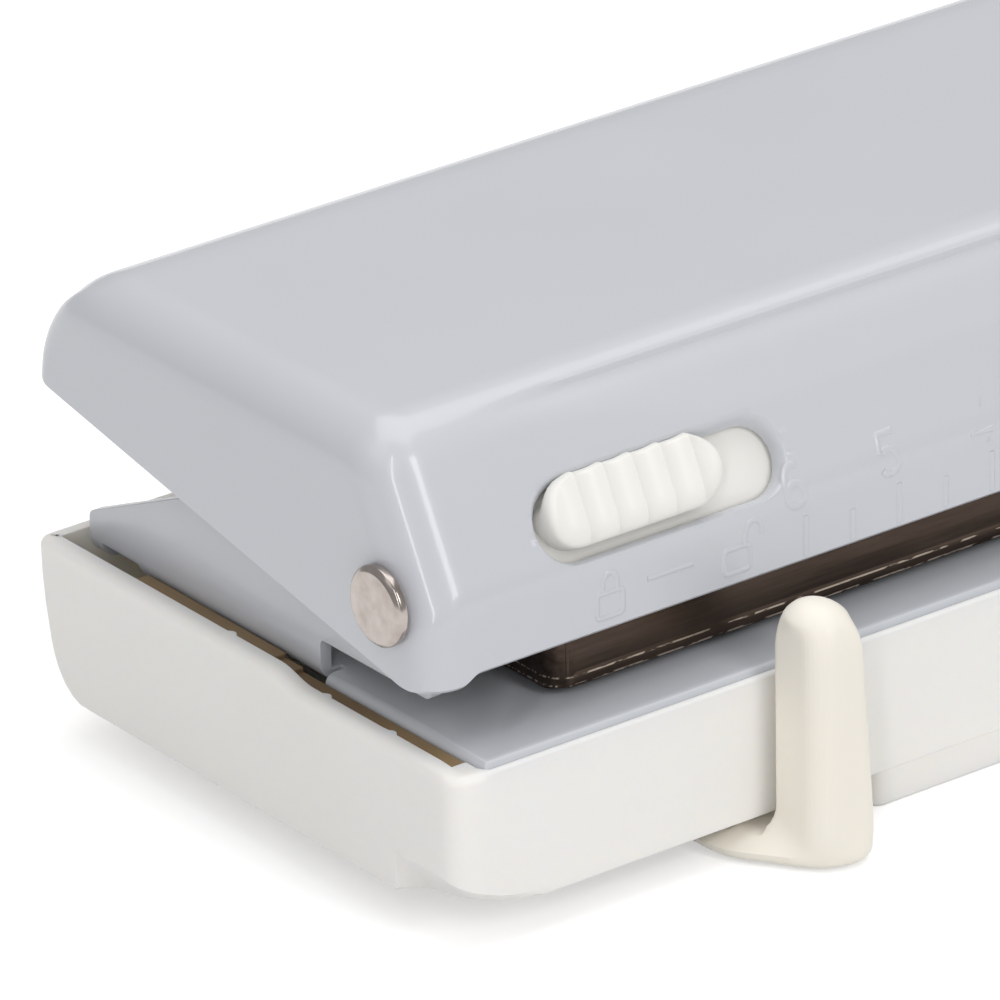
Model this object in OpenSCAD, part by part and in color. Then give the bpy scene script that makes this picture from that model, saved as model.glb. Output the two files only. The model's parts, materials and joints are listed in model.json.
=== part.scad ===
// Six-hole desk punch for loose-leaf sheets: chip tray, sheet frame, punch block and hinged handle.
// Millimetres, Z up. X runs along the row of holes, minus Y is the side where the paper goes in.
// Inside the modules Y counts from the tray's front face; the draw lines at the end centre it.

/* [Chip tray] */
// Length of the tray, which is the length of the punch
tray_len = 200; // [192:1:230]
// Depth of the tray at its rear rim, front to back
tray_depth = 58.8; // [56.5:0.1:64]
// Height of the rear rim above the table
tray_rim = 17.9; // [17.6:0.1:20]
// Thickness of the tray's walls
tray_wall = 1.6; // [1.2:0.1:1.8]
// Thickness of the tray's floor
tray_floor = 1.5; // [1.2:0.1:2]
// Height of the step under both ends, where the paper guide slides
end_step = 3.4; // [3.2:0.1:4.2]
// Length of the step under each end
step_len = 44; // [42:0.5:50]
// Radius of the upright corners
tray_corner_r = 2.2; // [1.8:0.1:3]
// Diameter of the rubber feet
foot_d = 9; // [7:0.5:10]
// Distance of the feet's centres from the tray's ends
foot_inset = 14; // [10:0.5:20]
// Distance of the front feet's centres from the tray's front face
foot_front = 22; // [18:0.5:26]
// Distance of the rear feet's centres from the tray's rear rim
foot_rear = 14; // [12:0.5:18]

/* [Frame] */
// Thickness of the bent steel sheet
sheet_t = 1.2; // [1:0.1:1.4]
// Height of the platform on which the paper lies
platform_z = 16.8; // [16.6:0.1:17.4]
// Distance of the ears' outer faces from the tray's ends
ear_inset = 3.5; // [3.4:0.1:3.8]
// Height of the paper slot under the ears
ear_slot_h = 3; // [2.4:0.1:3.2]
// Distance of the paper stop from the tray's front face
paper_stop_y = 23; // [22:0.1:25]
// Distance of the handle's pivot from the tray's front face
pivot_y = 9.4; // [9:0.1:10]
// Height of the handle's pivot
pivot_z = 29.1; // [28.8:0.1:29.6]
// Diameter of the pivot rivet's shank
pivot_d = 3.2; // [2.8:0.1:3.4]
// Diameter of the pivot rivet's head
rivet_head_d = 7.2; // [6.8:0.1:8.4]

/* [Punching] */
// Diameter of the punched hole
hole_d = 5.5; // [5:0.1:6]
// Distance of the hole's centre from the edge of the sheet
hole_margin = 5; // [4.6:0.1:5.6]
// Spacing of the three holes in a group
hole_pitch = 19; // [18:0.5:20]
// Gap between the two middle holes
middle_gap = 70; // [60:0.5:74]
// Height of the gap for the paper under the punch block
paper_gap = 0.8; // [0.6:0.1:1]
// How far the punch block runs on past the outermost pins
block_end = 12; // [9:0.5:12]
// Height of the punch block
block_h = 8.2; // [8:0.1:8.6]
// Wire of the return springs
spring_wire = 0.5; // [0.4:0.05:0.6]
// Curls of each return spring
spring_curls = 3; // [2:1:3]

/* [Handle] */
// Distance of the handle's ends from the tray's ends
handle_inset = 0.3; // [0.2:0.1:0.6]
// Wall thickness of the handle cover
cover_t = 1.6; // [1.3:0.1:1.7]
// Distance of the handle's front wall from the tray's front face
cover_front_y = 4.2; // [4:0.1:4.4]
// Height of the front wall's lower edge
cover_front_z = 22.7; // [22.2:0.1:23]
// Height at which the front face starts to lean back
cover_bend_z = 29.4; // [28.8:0.1:30]
// Height of the handle's top
cover_top_z = 43.2; // [42.6:0.1:45]
// How far the leaning face runs back to the top
cover_lean = 7.2; // [6.8:0.1:7.6]
// Height of the rear wall's lower edge
cover_rear_z = 32.2; // [32:0.1:33]
// Radius of the rounding along the ends of the top
cover_end_r = 6; // [5:0.5:7]
// Radius of the rear corners seen from above
cover_rear_corner = 1.5; // [1:0.5:6]
// Depth of the finger scoop under the front of the top
scoop_depth = 0.75; // [0.4:0.05:0.8]
// Full travel of the handle in degrees
press_angle = 13.5; // [12:0.5:13.5]

/* [Lock slider] */
// Distance of the lock slot's centre from the tray's left end
lock_x = 25.4; // [23:0.1:26]
// Length of the lock slot
lock_slot_l = 25.4; // [25:0.1:27]
// Height of the lock slot along the leaning face
lock_slot_h = 7.7; // [7.4:0.1:8.8]
// Travel of the lock slider
lock_travel = 6; // [4:0.5:6.5]

/* [Paper guide] */
// Distance of the guide's left face from the tray's left end
guide_x = 32.3; // [28:0.1:33]
// Width of the guide's fin at its top
guide_w = 5.2; // [4.6:0.1:5.6]
// How much wider the fin is at its foot
guide_flare = 1; // [0:0.1:1]
// How far the guide stands out before the tray's front face
guide_out = 7.2; // [6.6:0.1:8]
// Height of the guide's fin
guide_h = 24; // [22:0.5:26]

/* [Fits] */
// Gap between pieces that move past each other
run_gap = 0.3; // [0.25:0.05:0.35]
// Radial clearance of shanks and pins in their bores
bore_fit = 0.06; // [0.04:0.01:0.08]

/* [Hidden] */
// Facets of round pieces
$fn = 64;
// Small overlap that keeps cuts clean
eps = 0.01;
// Half lengths measured from the middle
half_len = tray_len / 2;
ear_x = half_len - ear_inset;
cover_half = half_len - handle_inset;
// Middle of the outline front to back
mid_y = (tray_depth - guide_out) / 2;
// Line of the holes
pin_y = paper_stop_y - hole_margin;
pin_xs = [for (side = [-1, 1], k = [0 : 2]) side * (middle_gap / 2 + (side < 0 ? 2 - k : k) * hole_pitch)];
pin_r = hole_d / 2;
block_half = pin_xs[5] + block_end;
// Lever arm of the pins about the pivot and their travel
pin_arm = pin_y - pivot_y;
pin_travel = pin_arm * press_angle * PI / 180;
// Heights in the punch block
block_z = platform_z + paper_gap;
block_floor_top = block_z + sheet_t;
block_top = block_z + block_h;
block_roof = block_top - sheet_t;
block_front_y = cover_front_y + cover_t + 0.2;
// Pin heights
pin_tip_z = block_z + 0.2;
pin_top_z = pivot_z - 0.1;
pin_head_t = 0.9;
clip_t = 0.7;
clip_top = block_roof - 0.4;
// Return spring
spring_r = pin_r + 0.85;
spring_bottom = block_floor_top + 0.05;
spring_top = clip_top - clip_t - 0.05;
spring_pitch = (spring_top - spring_bottom - spring_wire) / spring_curls;
echo(spring_gap = spring_pitch - spring_wire);
// Rim of the end walls beside the paper
paper_rim = tray_rim - 0.9;
// Platform underside, which rests on the tray
platform_under = platform_z - sheet_t;
// Outer radius of the ears' bends
bend_r = sheet_t + 0.8;
// Height of the tray's seats, just under the platform
tray_seat = platform_under - 0.02;
// Lip of the tray before the platform's front edge
front_lip = 0.5;
lip_z = platform_z - 0.45;
platform_front = front_lip + 0.1;
platform_back = tray_depth - 3.1;
ear_slot_top = platform_z + ear_slot_h;
// Front edge of the ears, clear of the cover's rounded corner
ear_front_y = cover_front_y + cover_t + 3 * run_gap;
// Screws that hold the cover to the lever
cover_screw_xs = [-62, -20, 20, 62];
cover_screw_y = 36;
screw_d = 3;
// Lever
lever_top = cover_top_z - 4;
lever_back = tray_depth - 11.7;
lever_gap = 0.1;
lever_half = cover_half - cover_t - lever_gap;
lever_web = lever_half - sheet_t / 2;
// Rivets of the punch block
block_rivet_xs = [-block_half + 8, -25, 25, block_half - 8];
block_rivet_y = paper_stop_y + 5.5;
block_rivet_d = 3;
// Lock
lock_cx = -half_len + lock_x;
lean_angle = atan2(cover_lean, cover_top_z - cover_bend_z);
lock_up = 3.85;
lock_z = cover_bend_z + lock_up;
lock_y = cover_front_y + lock_up * tan(lean_angle);
button_l = lock_slot_l - lock_travel - 2 * run_gap;
button_h = lock_slot_h - 2 * run_gap;
plate_lo = cover_bend_z - 2.2;
plate_hi = cover_bend_z + 7;
ridge_count = 6;

// Helpers for outlines
function unit(v) = v / norm(v);
function left_of(a, b) = let (d = unit(b - a)) [-d[1], d[0]];
function inset_corner(p, q, r, t) = let (m = left_of(p, q), n = left_of(q, r)) q + (m + n) * t / (1 + m * n);
function inset(pts, t) = let (c = len(pts))
  [for (i = [0 : c - 1]) inset_corner(pts[(i + c - 1) % c], pts[i], pts[(i + 1) % c], t)];
function arc_pts(p, q, r, rad, n) = rad <= 0 ? [q] :
  let (u = unit(p - q), w = unit(r - q), h = acos(u * w) / 2, c = q + unit(u + w) * rad / sin(h),
    a = q + u * rad / tan(h), b = q + w * rad / tan(h),
    a0 = atan2(a[1] - c[1], a[0] - c[0]), a1 = atan2(b[1] - c[1], b[0] - c[0]),
    turn = a1 - a0 > 180 ? a1 - a0 - 360 : (a1 - a0 < -180 ? a1 - a0 + 360 : a1 - a0))
  [for (k = [0 : n]) c + rad * [cos(a0 + turn * k / n), sin(a0 + turn * k / n)]];
function rounded(pts, rads, n = 10) = let (c = len(pts))
  [for (i = [0 : c - 1]) each arc_pts(pts[(i + c - 1) % c], pts[i], pts[(i + 1) % c], rads[i], n)];
function less(rads, t) = [for (r = rads) max(r - t, 0)];

// A side outline in Y and Z drawn out along X, about the middle
module along_x(length) rotate([90, 0, 90]) linear_extrude(length, center = true) children();
// An end outline in X and Z drawn out along Y from y0 to y1
module along_y(y0, y1) translate([0, y1, 0]) rotate([90, 0, 0]) linear_extrude(y1 - y0) children();
// A rod along X
module rod_x(d, length) rotate([0, 90, 0]) cylinder(d = d, h = length, center = true);
// A slot outline with round ends
module stadium(length, height) {
  square([length - height, height], center = true);
  for (side = [-1, 1]) translate([side * (length - height) / 2, 0]) circle(d = height);
}

// Chip tray
rear_lean = 3.4;
tub_side = [[0, end_step], [tray_depth - rear_lean, end_step], [tray_depth, tray_rim], [0, tray_rim]];
tub_rads = [0.8, 6, 0, 0];
function raised(pts) = [pts[0], pts[1], pts[2] + 5 * [rear_lean / (tray_rim - end_step), 1], pts[3] + [0, 5]];

module tray_plan(in) {
  polygon(rounded([[-half_len + in, in], [half_len - in, in], [half_len - in, tray_depth + 3],
    [-half_len + in, tray_depth + 3]], [tray_corner_r, tray_corner_r, 0, 0], 6));
}

module tub(in) {
  side = in == 0 ? rounded(tub_side, tub_rads) : rounded(inset(raised(tub_side), in), less(tub_rads, in));
  intersection() {
    along_x(tray_len + 2) polygon(side);
    linear_extrude(60) tray_plan(in);
    along_y(-1, tray_depth + 5) polygon(rounded([[-half_len + in, end_step + in], [half_len - in, end_step + in],
      [half_len - in, 40], [-half_len + in, 40]], [2.4, 2.4, 0, 0], 6));
  }
}

module plinth(in, top) {
  length = tray_len - 2 * step_len;
  translate([0, 0, in == 0 ? 0 : tray_floor]) linear_extrude(top - (in == 0 ? 0 : tray_floor))
    polygon(rounded([[-length / 2 + in, in], [length / 2 - in, in], [length / 2 - in, tray_depth - 9 - in],
      [-length / 2 + in, tray_depth - 9 - in]], [0, 0, 4, 4], 6));
}

// Rails under the step that hold the guide's foot
rail_y = 2.2;
rail_w = 1.2;
rail_back_y = 9.8;
rail_inset = 12;
module guide_rails() {
  length = step_len - rail_inset;
  for (side = [-1, 1]) translate([side * (half_len - rail_inset - length / 2) - length / 2, 0, 0]) {
    translate([0, rail_y, end_step - 1.2]) cube([length, rail_w, 1.2 + eps]);
    translate([0, rail_back_y, 0.5]) cube([length, 1.4, end_step - 0.5 + eps]);
    translate([0, rail_back_y - 1.6, 0.5]) cube([length, 1.6 + eps, 0.9]);
  }
}

module chip_tray() color("ivory") {
  difference() {
    union() {
      difference() {
        union() {
          tub(0);
          plinth(0, end_step + 1);
        }
        translate([0, 0, tray_floor - tray_wall]) tub(tray_wall);
        plinth(tray_wall, end_step + tray_floor + 1);
      }
      // posts that carry the platform's rear edge
      intersection() {
        for (x = [-70, -25, 25, 70]) translate([x - 2.5, platform_back - 4, end_step + 0.5])
          cube([5, 10, tray_seat - end_step - 0.5]);
        tub(0);
      }
      guide_rails();
      // small snap ribs inside the end rims
      for (side = [-1, 1], spot = [[8, paper_rim], [17.5, paper_rim], [30, tray_rim]])
        translate([side * (half_len - tray_wall), spot[0], spot[1] - 3.2]) cylinder(d = 1.1, h = 3.1);
    }
    // front wall cut down so that the platform lies on it behind a low lip
    translate([-ear_x - run_gap, front_lip, tray_seat]) cube([2 * (ear_x + run_gap), 4, 10]);
    along_y(-1, front_lip + eps) polygon([[-ear_x - run_gap, lip_z], [ear_x + run_gap, lip_z],
      [half_len - 1, paper_rim], [half_len - 1, 40], [-half_len + 1, 40], [-half_len + 1, paper_rim]]);
    // lower end rims beside the paper
    for (side = [-1, 1]) translate([side * half_len, 0, 0]) along_x(2 * (ear_inset - run_gap))
      polygon([[-1, paper_rim], [paper_stop_y, paper_rim], [paper_stop_y + 1, paper_rim + 0.2],
        [paper_stop_y + 2.2, tray_rim - 0.2], [paper_stop_y + 3.2, tray_rim + eps], [paper_stop_y + 3.2, 30], [-1, 30]]);
    // thumb notches under the front corners
    for (side = [-1, 1]) translate([side * half_len, 7.6, end_step - eps])
      along_x(2.2) polygon([[-5.8, 0], [1.2, 0], [1.2, 3.6]]);
    // rounded underside of the front corners
    for (side = [-1, 1]) translate([side * half_len, 0, 0]) scale([side, 1, 1]) corner_relief();
    // seats of the rubber feet
    feet_spots() translate([0, 0, end_step - eps]) cylinder(d = foot_d / 2 + 0.5, h = 0.6);
  }
}

// Cuts the lowest part of a front corner to a wide round
module corner_relief() {
  r = 9;
  translate([0, 0, end_step - 1]) linear_extrude(1 + 1.4) difference() {
    translate([-r, -1]) square([r + 1, r + 1]);
    translate([-r, r]) circle(r = r);
  }
}

module feet_spots() {
  for (x = [-1, 1], y = [foot_front, tray_depth - foot_rear]) translate([x * (half_len - foot_inset), y, 0]) children();
}

module rubber_feet() color("dimgray") feet_spots() {
  cylinder(d = foot_d, h = end_step - 0.02);
  cylinder(d = foot_d / 2 + 0.4, h = end_step + 0.5);
}

// Paper guide
module paper_guide() color("cornsilk") {
  left = -half_len + guide_x;
  back = -1;
  foot_top = end_step - run_gap + 0.05;
  foot_lo = 0.35;
  cx = left + guide_w / 2;
  cy = (back - guide_out) / 2;
  thick = guide_out + back;
  difference() {
    union() {
      intersection() {
        translate([cx, 0, 0]) along_y(-guide_out, back) union() {
          polygon([[-guide_w / 2, foot_lo], [guide_w / 2 + guide_flare, foot_lo],
            [guide_w / 2, guide_h - guide_w / 2], [-guide_w / 2, guide_h - guide_w / 2]]);
          translate([0, guide_h - guide_w / 2]) circle(d = guide_w);
        }
        translate([cx, cy, 0]) along_x(guide_w + 2 * guide_flare + 2) union() {
          translate([-thick / 2, foot_lo]) square([thick, guide_h - foot_lo - thick / 2]);
          translate([0, guide_h - thick / 2]) circle(d = thick);
        }
        linear_extrude(guide_h + 1) polygon(rounded([[left, -guide_out], [left + guide_w + guide_flare, -guide_out],
          [left + guide_w + guide_flare, back], [left, back]], [1.6, 1.6, 0.6, 0.6], 6));
      }
      // foot under the tray
      translate([0, 0, foot_lo]) linear_extrude(foot_top - foot_lo) polygon(rounded([
        [left + 1.4, -guide_out + 0.5], [left + guide_w + guide_flare, -guide_out + 0.5], [left + guide_w + guide_flare, 7.8],
        [left - 4, 7.8], [left - 4, 3], [left - 1.6, -2.6]], [2, 1.8, 0, 0, 2, 4], 6));
      // tongue that rides over the rear rail's lip
      translate([left - 4, 7.7, 1.7]) cube([guide_w + guide_flare + 4, 1.8, foot_top - 1.7]);
    }
    // groove for the front rail
    translate([left - 6, 0.6, end_step - 1.2 - run_gap]) cube([guide_w + 10, rail_y + rail_w + run_gap - 0.6, 3]);
  }
}

// Frame
ear_side = [[paper_stop_y, platform_under], [platform_back, platform_under], [platform_back, platform_z + 2.9],
  [tray_depth - 16.9, pivot_z - 3.2], [pivot_y + 13, pivot_z + 4.2], [pivot_y + 2.4, pivot_z + 6],
  [ear_front_y, pivot_z + 0.9], [ear_front_y, pivot_z - 5], [ear_front_y + 1.2, ear_slot_top],
  [paper_stop_y, ear_slot_top]];

module frame() color("lightsteelblue") difference() {
  union() {
    translate([-ear_x, platform_front, platform_under]) cube([2 * ear_x, platform_back - platform_front, sheet_t]);
    for (side = [-1, 1]) translate([side * (ear_x - sheet_t / 2), 0, 0]) along_x(sheet_t)
      polygon(rounded(ear_side, [0, 0, 0.8, 0, 6, 1.5, 2.8, 2, 1, 0.6], 8));
  }
  // rounded bends
  for (side = [-1, 1]) scale([side, 1, 1]) {
    translate([ear_x - 0.9, 0, platform_z - 0.9]) along_y(0, paper_stop_y - 0.6) difference() {
      square(2);
      circle(r = 0.9);
    }
    translate([ear_x - bend_r, 0, platform_under + bend_r]) along_y(paper_stop_y - eps, tray_depth) difference() {
      translate([0, -3]) square(3);
      circle(r = bend_r);
    }
    // window in the bend near its rear end
    translate([ear_x - 1.9, platform_back - 6.9, platform_under - 1]) cube([4, 5.2, 2.6]);
    // relief cut between the two bends
    translate([ear_x - 2.2, paper_stop_y - 0.6, platform_under - 5]) cube([4, 0.6, 5 + sheet_t + eps]);
    translate([ear_x - sheet_t / 2, pivot_y, pivot_z]) rod_x(pivot_d + 2 * bore_fit, 4);
  }
  // rounded front edge
  translate([0, platform_front + 0.9, platform_z - 0.9]) along_x(tray_len) difference() {
    translate([-2, 0]) square(2);
    circle(r = 0.9);
  }
  // dies
  for (x = pin_xs) translate([x, pin_y, platform_under - 1]) cylinder(d = hole_d + 0.12, h = 4);
  // rivet holes of the punch block
  for (x = block_rivet_xs) translate([x, block_rivet_y, platform_under - 1]) cylinder(d = block_rivet_d + 2 * bore_fit, h = 4);
}

// Punch block: a bent channel that guides the pins and forms the paper gap and the paper stop
module block_side() {
  lower = rounded([[block_front_y, block_z], [paper_stop_y, block_z], [paper_stop_y, platform_z],
    [paper_stop_y + 11, platform_z], [paper_stop_y + 11, platform_z + sheet_t], [paper_stop_y + sheet_t, platform_z + sheet_t],
    [paper_stop_y + 0.4, block_floor_top], [block_front_y + sheet_t, block_floor_top], [block_front_y + sheet_t, block_roof],
    [paper_stop_y + 1, block_roof], [paper_stop_y + 1, block_top], [block_front_y, block_top]],
    [1.4, 0, 0, 0, 0, 0, 0, 0.3, 0.3, 0, 0, 1.4], 8);
  polygon(lower);
}

module punch_block() color("saddlebrown") difference() {
  union() {
    difference() {
      union() {
        along_x(2 * block_half) block_side();
        // folded ends
        for (side = [-1, 1]) translate([side * (block_half - sheet_t / 2), 0, 0]) along_x(sheet_t)
          polygon(rounded([[block_front_y, block_z], [paper_stop_y - 3, block_z], [paper_stop_y - 3, block_top], [block_front_y, block_top]],
            [1.4, 0, 3, 1.4], 8));
      }
      // rounded upright corners at both ends
      for (side = [-1, 1]) translate([side * block_half, block_front_y, 0]) scale([side, 1, 1])
        translate([-2.2, 2.2, block_z - 1]) linear_extrude(block_h + 2) difference() {
          translate([0, -3]) square(3);
          circle(r = 2.2);
        }
      // rear flange set back from the ends
      for (side = [-1, 1]) translate([side * block_half - 6, paper_stop_y - 3 + eps, platform_z - 1]) cube([12, 20, 20]);
    }
    // catch for the lock
    translate([lock_cx + button_l / 2 + 1, block_front_y + 5.2, block_top - eps]) cube([5, 0.8, 2.6]);
  }
  for (x = pin_xs) translate([x, pin_y, platform_z]) cylinder(d = hole_d + 2 * bore_fit, h = 30);
  for (x = block_rivet_xs) {
    translate([x, block_rivet_y, platform_z - 1]) cylinder(d = block_rivet_d + 2 * bore_fit, h = 5);
  }
}

module block_rivets() color("silver") for (x = block_rivet_xs) translate([x, block_rivet_y, 0]) rotate_extrude()
  polygon([[0, platform_under - 1], [2.6, platform_under - 1], [2.6, platform_under - 0.02],
    [block_rivet_d / 2, platform_under - 0.02], [block_rivet_d / 2, platform_z + sheet_t + 0.02],
    [2.8, platform_z + sheet_t + 0.02], [2.8, platform_z + sheet_t + 0.5], [2.1, platform_z + sheet_t + 1.1],
    [0, platform_z + sheet_t + 1.3]]);

// Pins
module pin(x) color("gainsboro") translate([x, pin_y, 0]) difference() {
  union() {
    translate([0, 0, pin_tip_z]) cylinder(r = pin_r, h = clip_top - clip_t - pin_tip_z - 0.03);
    translate([0, 0, clip_top - clip_t - 0.1]) cylinder(r = pin_r - 0.6, h = clip_t + 0.2);
    translate([0, 0, clip_top + 0.03]) cylinder(r = pin_r, h = pin_top_z - clip_top - 0.03 - pin_head_t + eps);
    translate([0, 0, pin_top_z - pin_head_t]) cylinder(r = pin_r + 0.7, h = pin_head_t);
  }
  // hollow-ground tip that cuts from both edges inwards
  translate([0, 0, pin_tip_z - 4.4]) rotate([90, 0, 0]) cylinder(r = 5.2, h = 4 * pin_r, center = true);
}

module clip(x) color("silver") translate([x, pin_y, clip_top - clip_t]) linear_extrude(clip_t) difference() {
  circle(r = pin_r + 1.5);
  circle(r = pin_r - 0.58);
  translate([-1.5, 0]) square([3, 10]);
}

// One spring: a tube of six sides swept round the pin
module spring(x) color("gray") {
  sides = 6;
  rings = 8 * spring_curls;
  r = spring_wire / 2;
  pts = [for (i = [0 : rings]) let (a = 360 * i / 8, z = spring_bottom + r + (spring_top - spring_bottom - 2 * r) * i / rings)
    for (k = [0 : sides - 1]) let (b = 360 * k / sides, d = spring_r + r * cos(b))
      [x + d * cos(a), pin_y + d * sin(a), z + r * sin(b)]];
  skin = [for (i = [0 : rings - 1], k = [0 : sides - 1]) let (a = i * sides + k, b = i * sides + (k + 1) % sides)
    [a, a + sides, b + sides, b]];
  polyhedron(pts, concat([[for (k = [0 : sides - 1]) k]], skin,
    [[for (k = [sides - 1 : -1 : 0]) rings * sides + k]]), 4);
}

// Handle cover
cover_back = tray_depth - 0.4;
cover_side = [[cover_front_y, cover_front_z], [cover_front_y + 4, cover_front_z - 0.3], [cover_back, cover_rear_z],
  [cover_back - 1.2, cover_top_z], [cover_front_y + cover_lean, cover_top_z], [cover_front_y, cover_bend_z]];
rear_r = min(9, 0.82 * (cover_top_z - cover_rear_z));
cover_rads = [0, 2, 0, rear_r, 4, 6];
// The same outline with its lower edge dropped, for the hollow and for pieces that follow the wall
cover_drop = [[cover_front_y, 8], [cover_back + 1.2 * (cover_rear_z - 16) / (cover_top_z - cover_rear_z), 16],
  [cover_back - 1.2, cover_top_z], [cover_front_y + cover_lean, cover_top_z], [cover_front_y, cover_bend_z]];
drop_rads = [0, 0, rear_r, 4, 6];
module cover_inside(in) polygon(rounded(inset(cover_drop, in), less(drop_rads, in)));

module cover_ends(in) polygon(rounded([[-cover_half + in, 5], [cover_half - in, 5], [cover_half - in, cover_top_z - in],
  [-cover_half + in, cover_top_z - in]], less([0, 0, cover_end_r, cover_end_r], in), 8));
module cover_plan(in) polygon(rounded([[-cover_half + in, cover_front_y + in], [cover_half - in, cover_front_y + in],
  [cover_half - in, cover_back + 1.6 - in], [-cover_half + in, cover_back + 1.6 - in]],
  less([5, 5, cover_rear_corner + 1.6, cover_rear_corner + 1.6], in), 8));

// The room inside the cover, kept off its outside by the given distance
module cover_hollow(in) intersection() {
  along_x(2 * cover_half) cover_inside(in);
  along_y(0, tray_depth + 5) cover_ends(in);
  linear_extrude(60) cover_plan(in);
}

// Places children in the leaning face at the slot's centre, Z pointing outwards
module on_lean() translate([lock_cx, lock_y, lock_z]) rotate([90 - lean_angle, 0, 0]) children();

// Lock retainer: how deep it lies, its thickness, and its screws under the front of the top
plate_t = 1.2;
retainer_in = cover_t + plate_t + 2 * run_gap;
retainer_t = 0.7;
retainer_head_d = 3;
retainer_y = inset(cover_drop, retainer_in + retainer_t)[3][0] + retainer_head_d / 2 + 0.2;
retainer_end = retainer_y + retainer_head_d / 2 + 0.5;
retainer_l = 24;
retainer_xs = [-7, 7];
module retainer_spots() for (x = retainer_xs) translate([lock_cx + x, retainer_y, cover_top_z]) children();

// Finger scoop along the leaning face: a shallow three-cornered groove that tilts out of the face at both ends
lean_len = norm([cover_lean, cover_top_z - cover_bend_z]);
scoop_top = lean_len - 0.3;
scoop_w = 7;
scoop_straight = half_len - 40;
scoop_fade = 31;
module scoop_groove(length) along_x(length) polygon([[scoop_top - scoop_w, 0], [scoop_top - 1, -scoop_depth],
  [scoop_top, 0], [scoop_top, 2], [scoop_top - scoop_w, 2]]);
module finger_scoop() translate([0, cover_front_y, cover_bend_z]) rotate([90 - lean_angle, 0, 0]) {
  scoop_groove(2 * scoop_straight);
  for (side = [-1, 1]) scale([side, 1, 1]) translate([scoop_straight, 0, 0])
    rotate([0, -atan(scoop_depth / scoop_fade), 0]) translate([20, 0, 0]) scoop_groove(40);
}

module handle_cover() color("lightsteelblue") difference() {
  union() {
    difference() {
      intersection() {
        along_x(2 * cover_half) polygon(rounded(cover_side, cover_rads));
        along_y(0, tray_depth + 5) cover_ends(0);
        linear_extrude(60) cover_plan(0);
      }
      cover_hollow(cover_t);
    }
    // bosses for the lever's screws
    for (x = cover_screw_xs) translate([x, cover_screw_y, lever_top + 0.02]) cylinder(d = 7, h = cover_top_z - lever_top - 1);
    // bosses for the lock's retainer
    retainer_spots() translate([0, 0, -retainer_in]) cylinder(d = 4.4, h = retainer_in - 0.8);
  }
  for (x = cover_screw_xs) translate([x, cover_screw_y, lever_top - 1]) cylinder(d = screw_d, h = 1 + 2.6);
  retainer_spots() translate([0, 0, -retainer_in - 0.2]) cylinder(d = 1.8, h = 2.6);
  finger_scoop();
  // slot of the lock, with its sunk rim
  on_lean() translate([0, 0, -4]) linear_extrude(8) stadium(lock_slot_l, lock_slot_h);
  on_lean() translate([0, 0, -0.5]) linear_extrude(4) stadium(lock_slot_l + 1.8, lock_slot_h + 1.8);
  // pivot bores
  translate([0, pivot_y, pivot_z]) rod_x(pivot_d + 2 * bore_fit, tray_len + 10);
}

// Lever: bent steel inside the cover, whose front flange presses the pins
module handle_lever() color("silver") difference() {
  union() {
    intersection() {
      for (side = [-1, 1]) translate([side * (lever_half - sheet_t / 2), 0, 0]) along_x(sheet_t) intersection() {
        polygon(inset(cover_side, cover_t + run_gap));
        square([lever_back, lever_top]);
      }
      cover_hollow(cover_t + lever_gap / 2);
    }
    translate([-lever_web, pin_y - sheet_t / 2, lever_top - sheet_t]) cube([2 * lever_web, lever_back - pin_y + sheet_t / 2, sheet_t]);
    translate([-block_half, pin_y - sheet_t / 2, pin_top_z + 0.2]) cube([2 * block_half, sheet_t, lever_top - pin_top_z - 0.2]);
    translate([-block_half, lever_back - sheet_t, lever_top - 4]) cube([2 * block_half, sheet_t, 4]);
  }
  for (x = cover_screw_xs) translate([x, cover_screw_y, lever_top - 3]) cylinder(d = screw_d + 0.4, h = 6);
  // relief for the lock's retainer and its screws
  translate([lock_cx - retainer_l / 2 - run_gap, 0, cover_top_z - retainer_in - retainer_t - 1.05 - run_gap])
    cube([retainer_l + 2 * run_gap, retainer_end + run_gap, 20]);
  translate([0, pivot_y, pivot_z]) rod_x(pivot_d + 2 * bore_fit, tray_len);
}

module cover_screws() color("silver") for (x = cover_screw_xs) translate([x, cover_screw_y, 0]) difference() {
  union() {
    translate([0, 0, lever_top - sheet_t - 1.8]) cylinder(d = 5.6, h = 1.78);
    translate([0, 0, lever_top - sheet_t - 0.1]) cylinder(d = screw_d - 0.04, h = sheet_t + 2.4);
  }
  translate([0, 0, lever_top - sheet_t - 2]) for (a = [0, 90]) rotate(a) cube([3.2, 0.8, 2.2], center = true);
}

// Pivot rivets, headed on both sides
module pivot_rivet(side) color("whitesmoke") translate([0, pivot_y, pivot_z]) scale([side, 1, 1]) rotate([0, 90, 0]) {
  r = rivet_head_d / 2;
  face = cover_half + 0.15;
  inner = ear_x - sheet_t - 0.02;
  rotate_extrude() polygon([[0, inner - 1], [pivot_d / 2 + 0.6, inner - 1], [pivot_d / 2 + 0.9, inner - 0.7], [pivot_d / 2 + 0.9, inner], [pivot_d / 2, inner],
    [pivot_d / 2, face], [r, face], [r, face + 0.85], [r - 0.35, face + 1.2], [0, face + 1.2]]);
}

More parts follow.
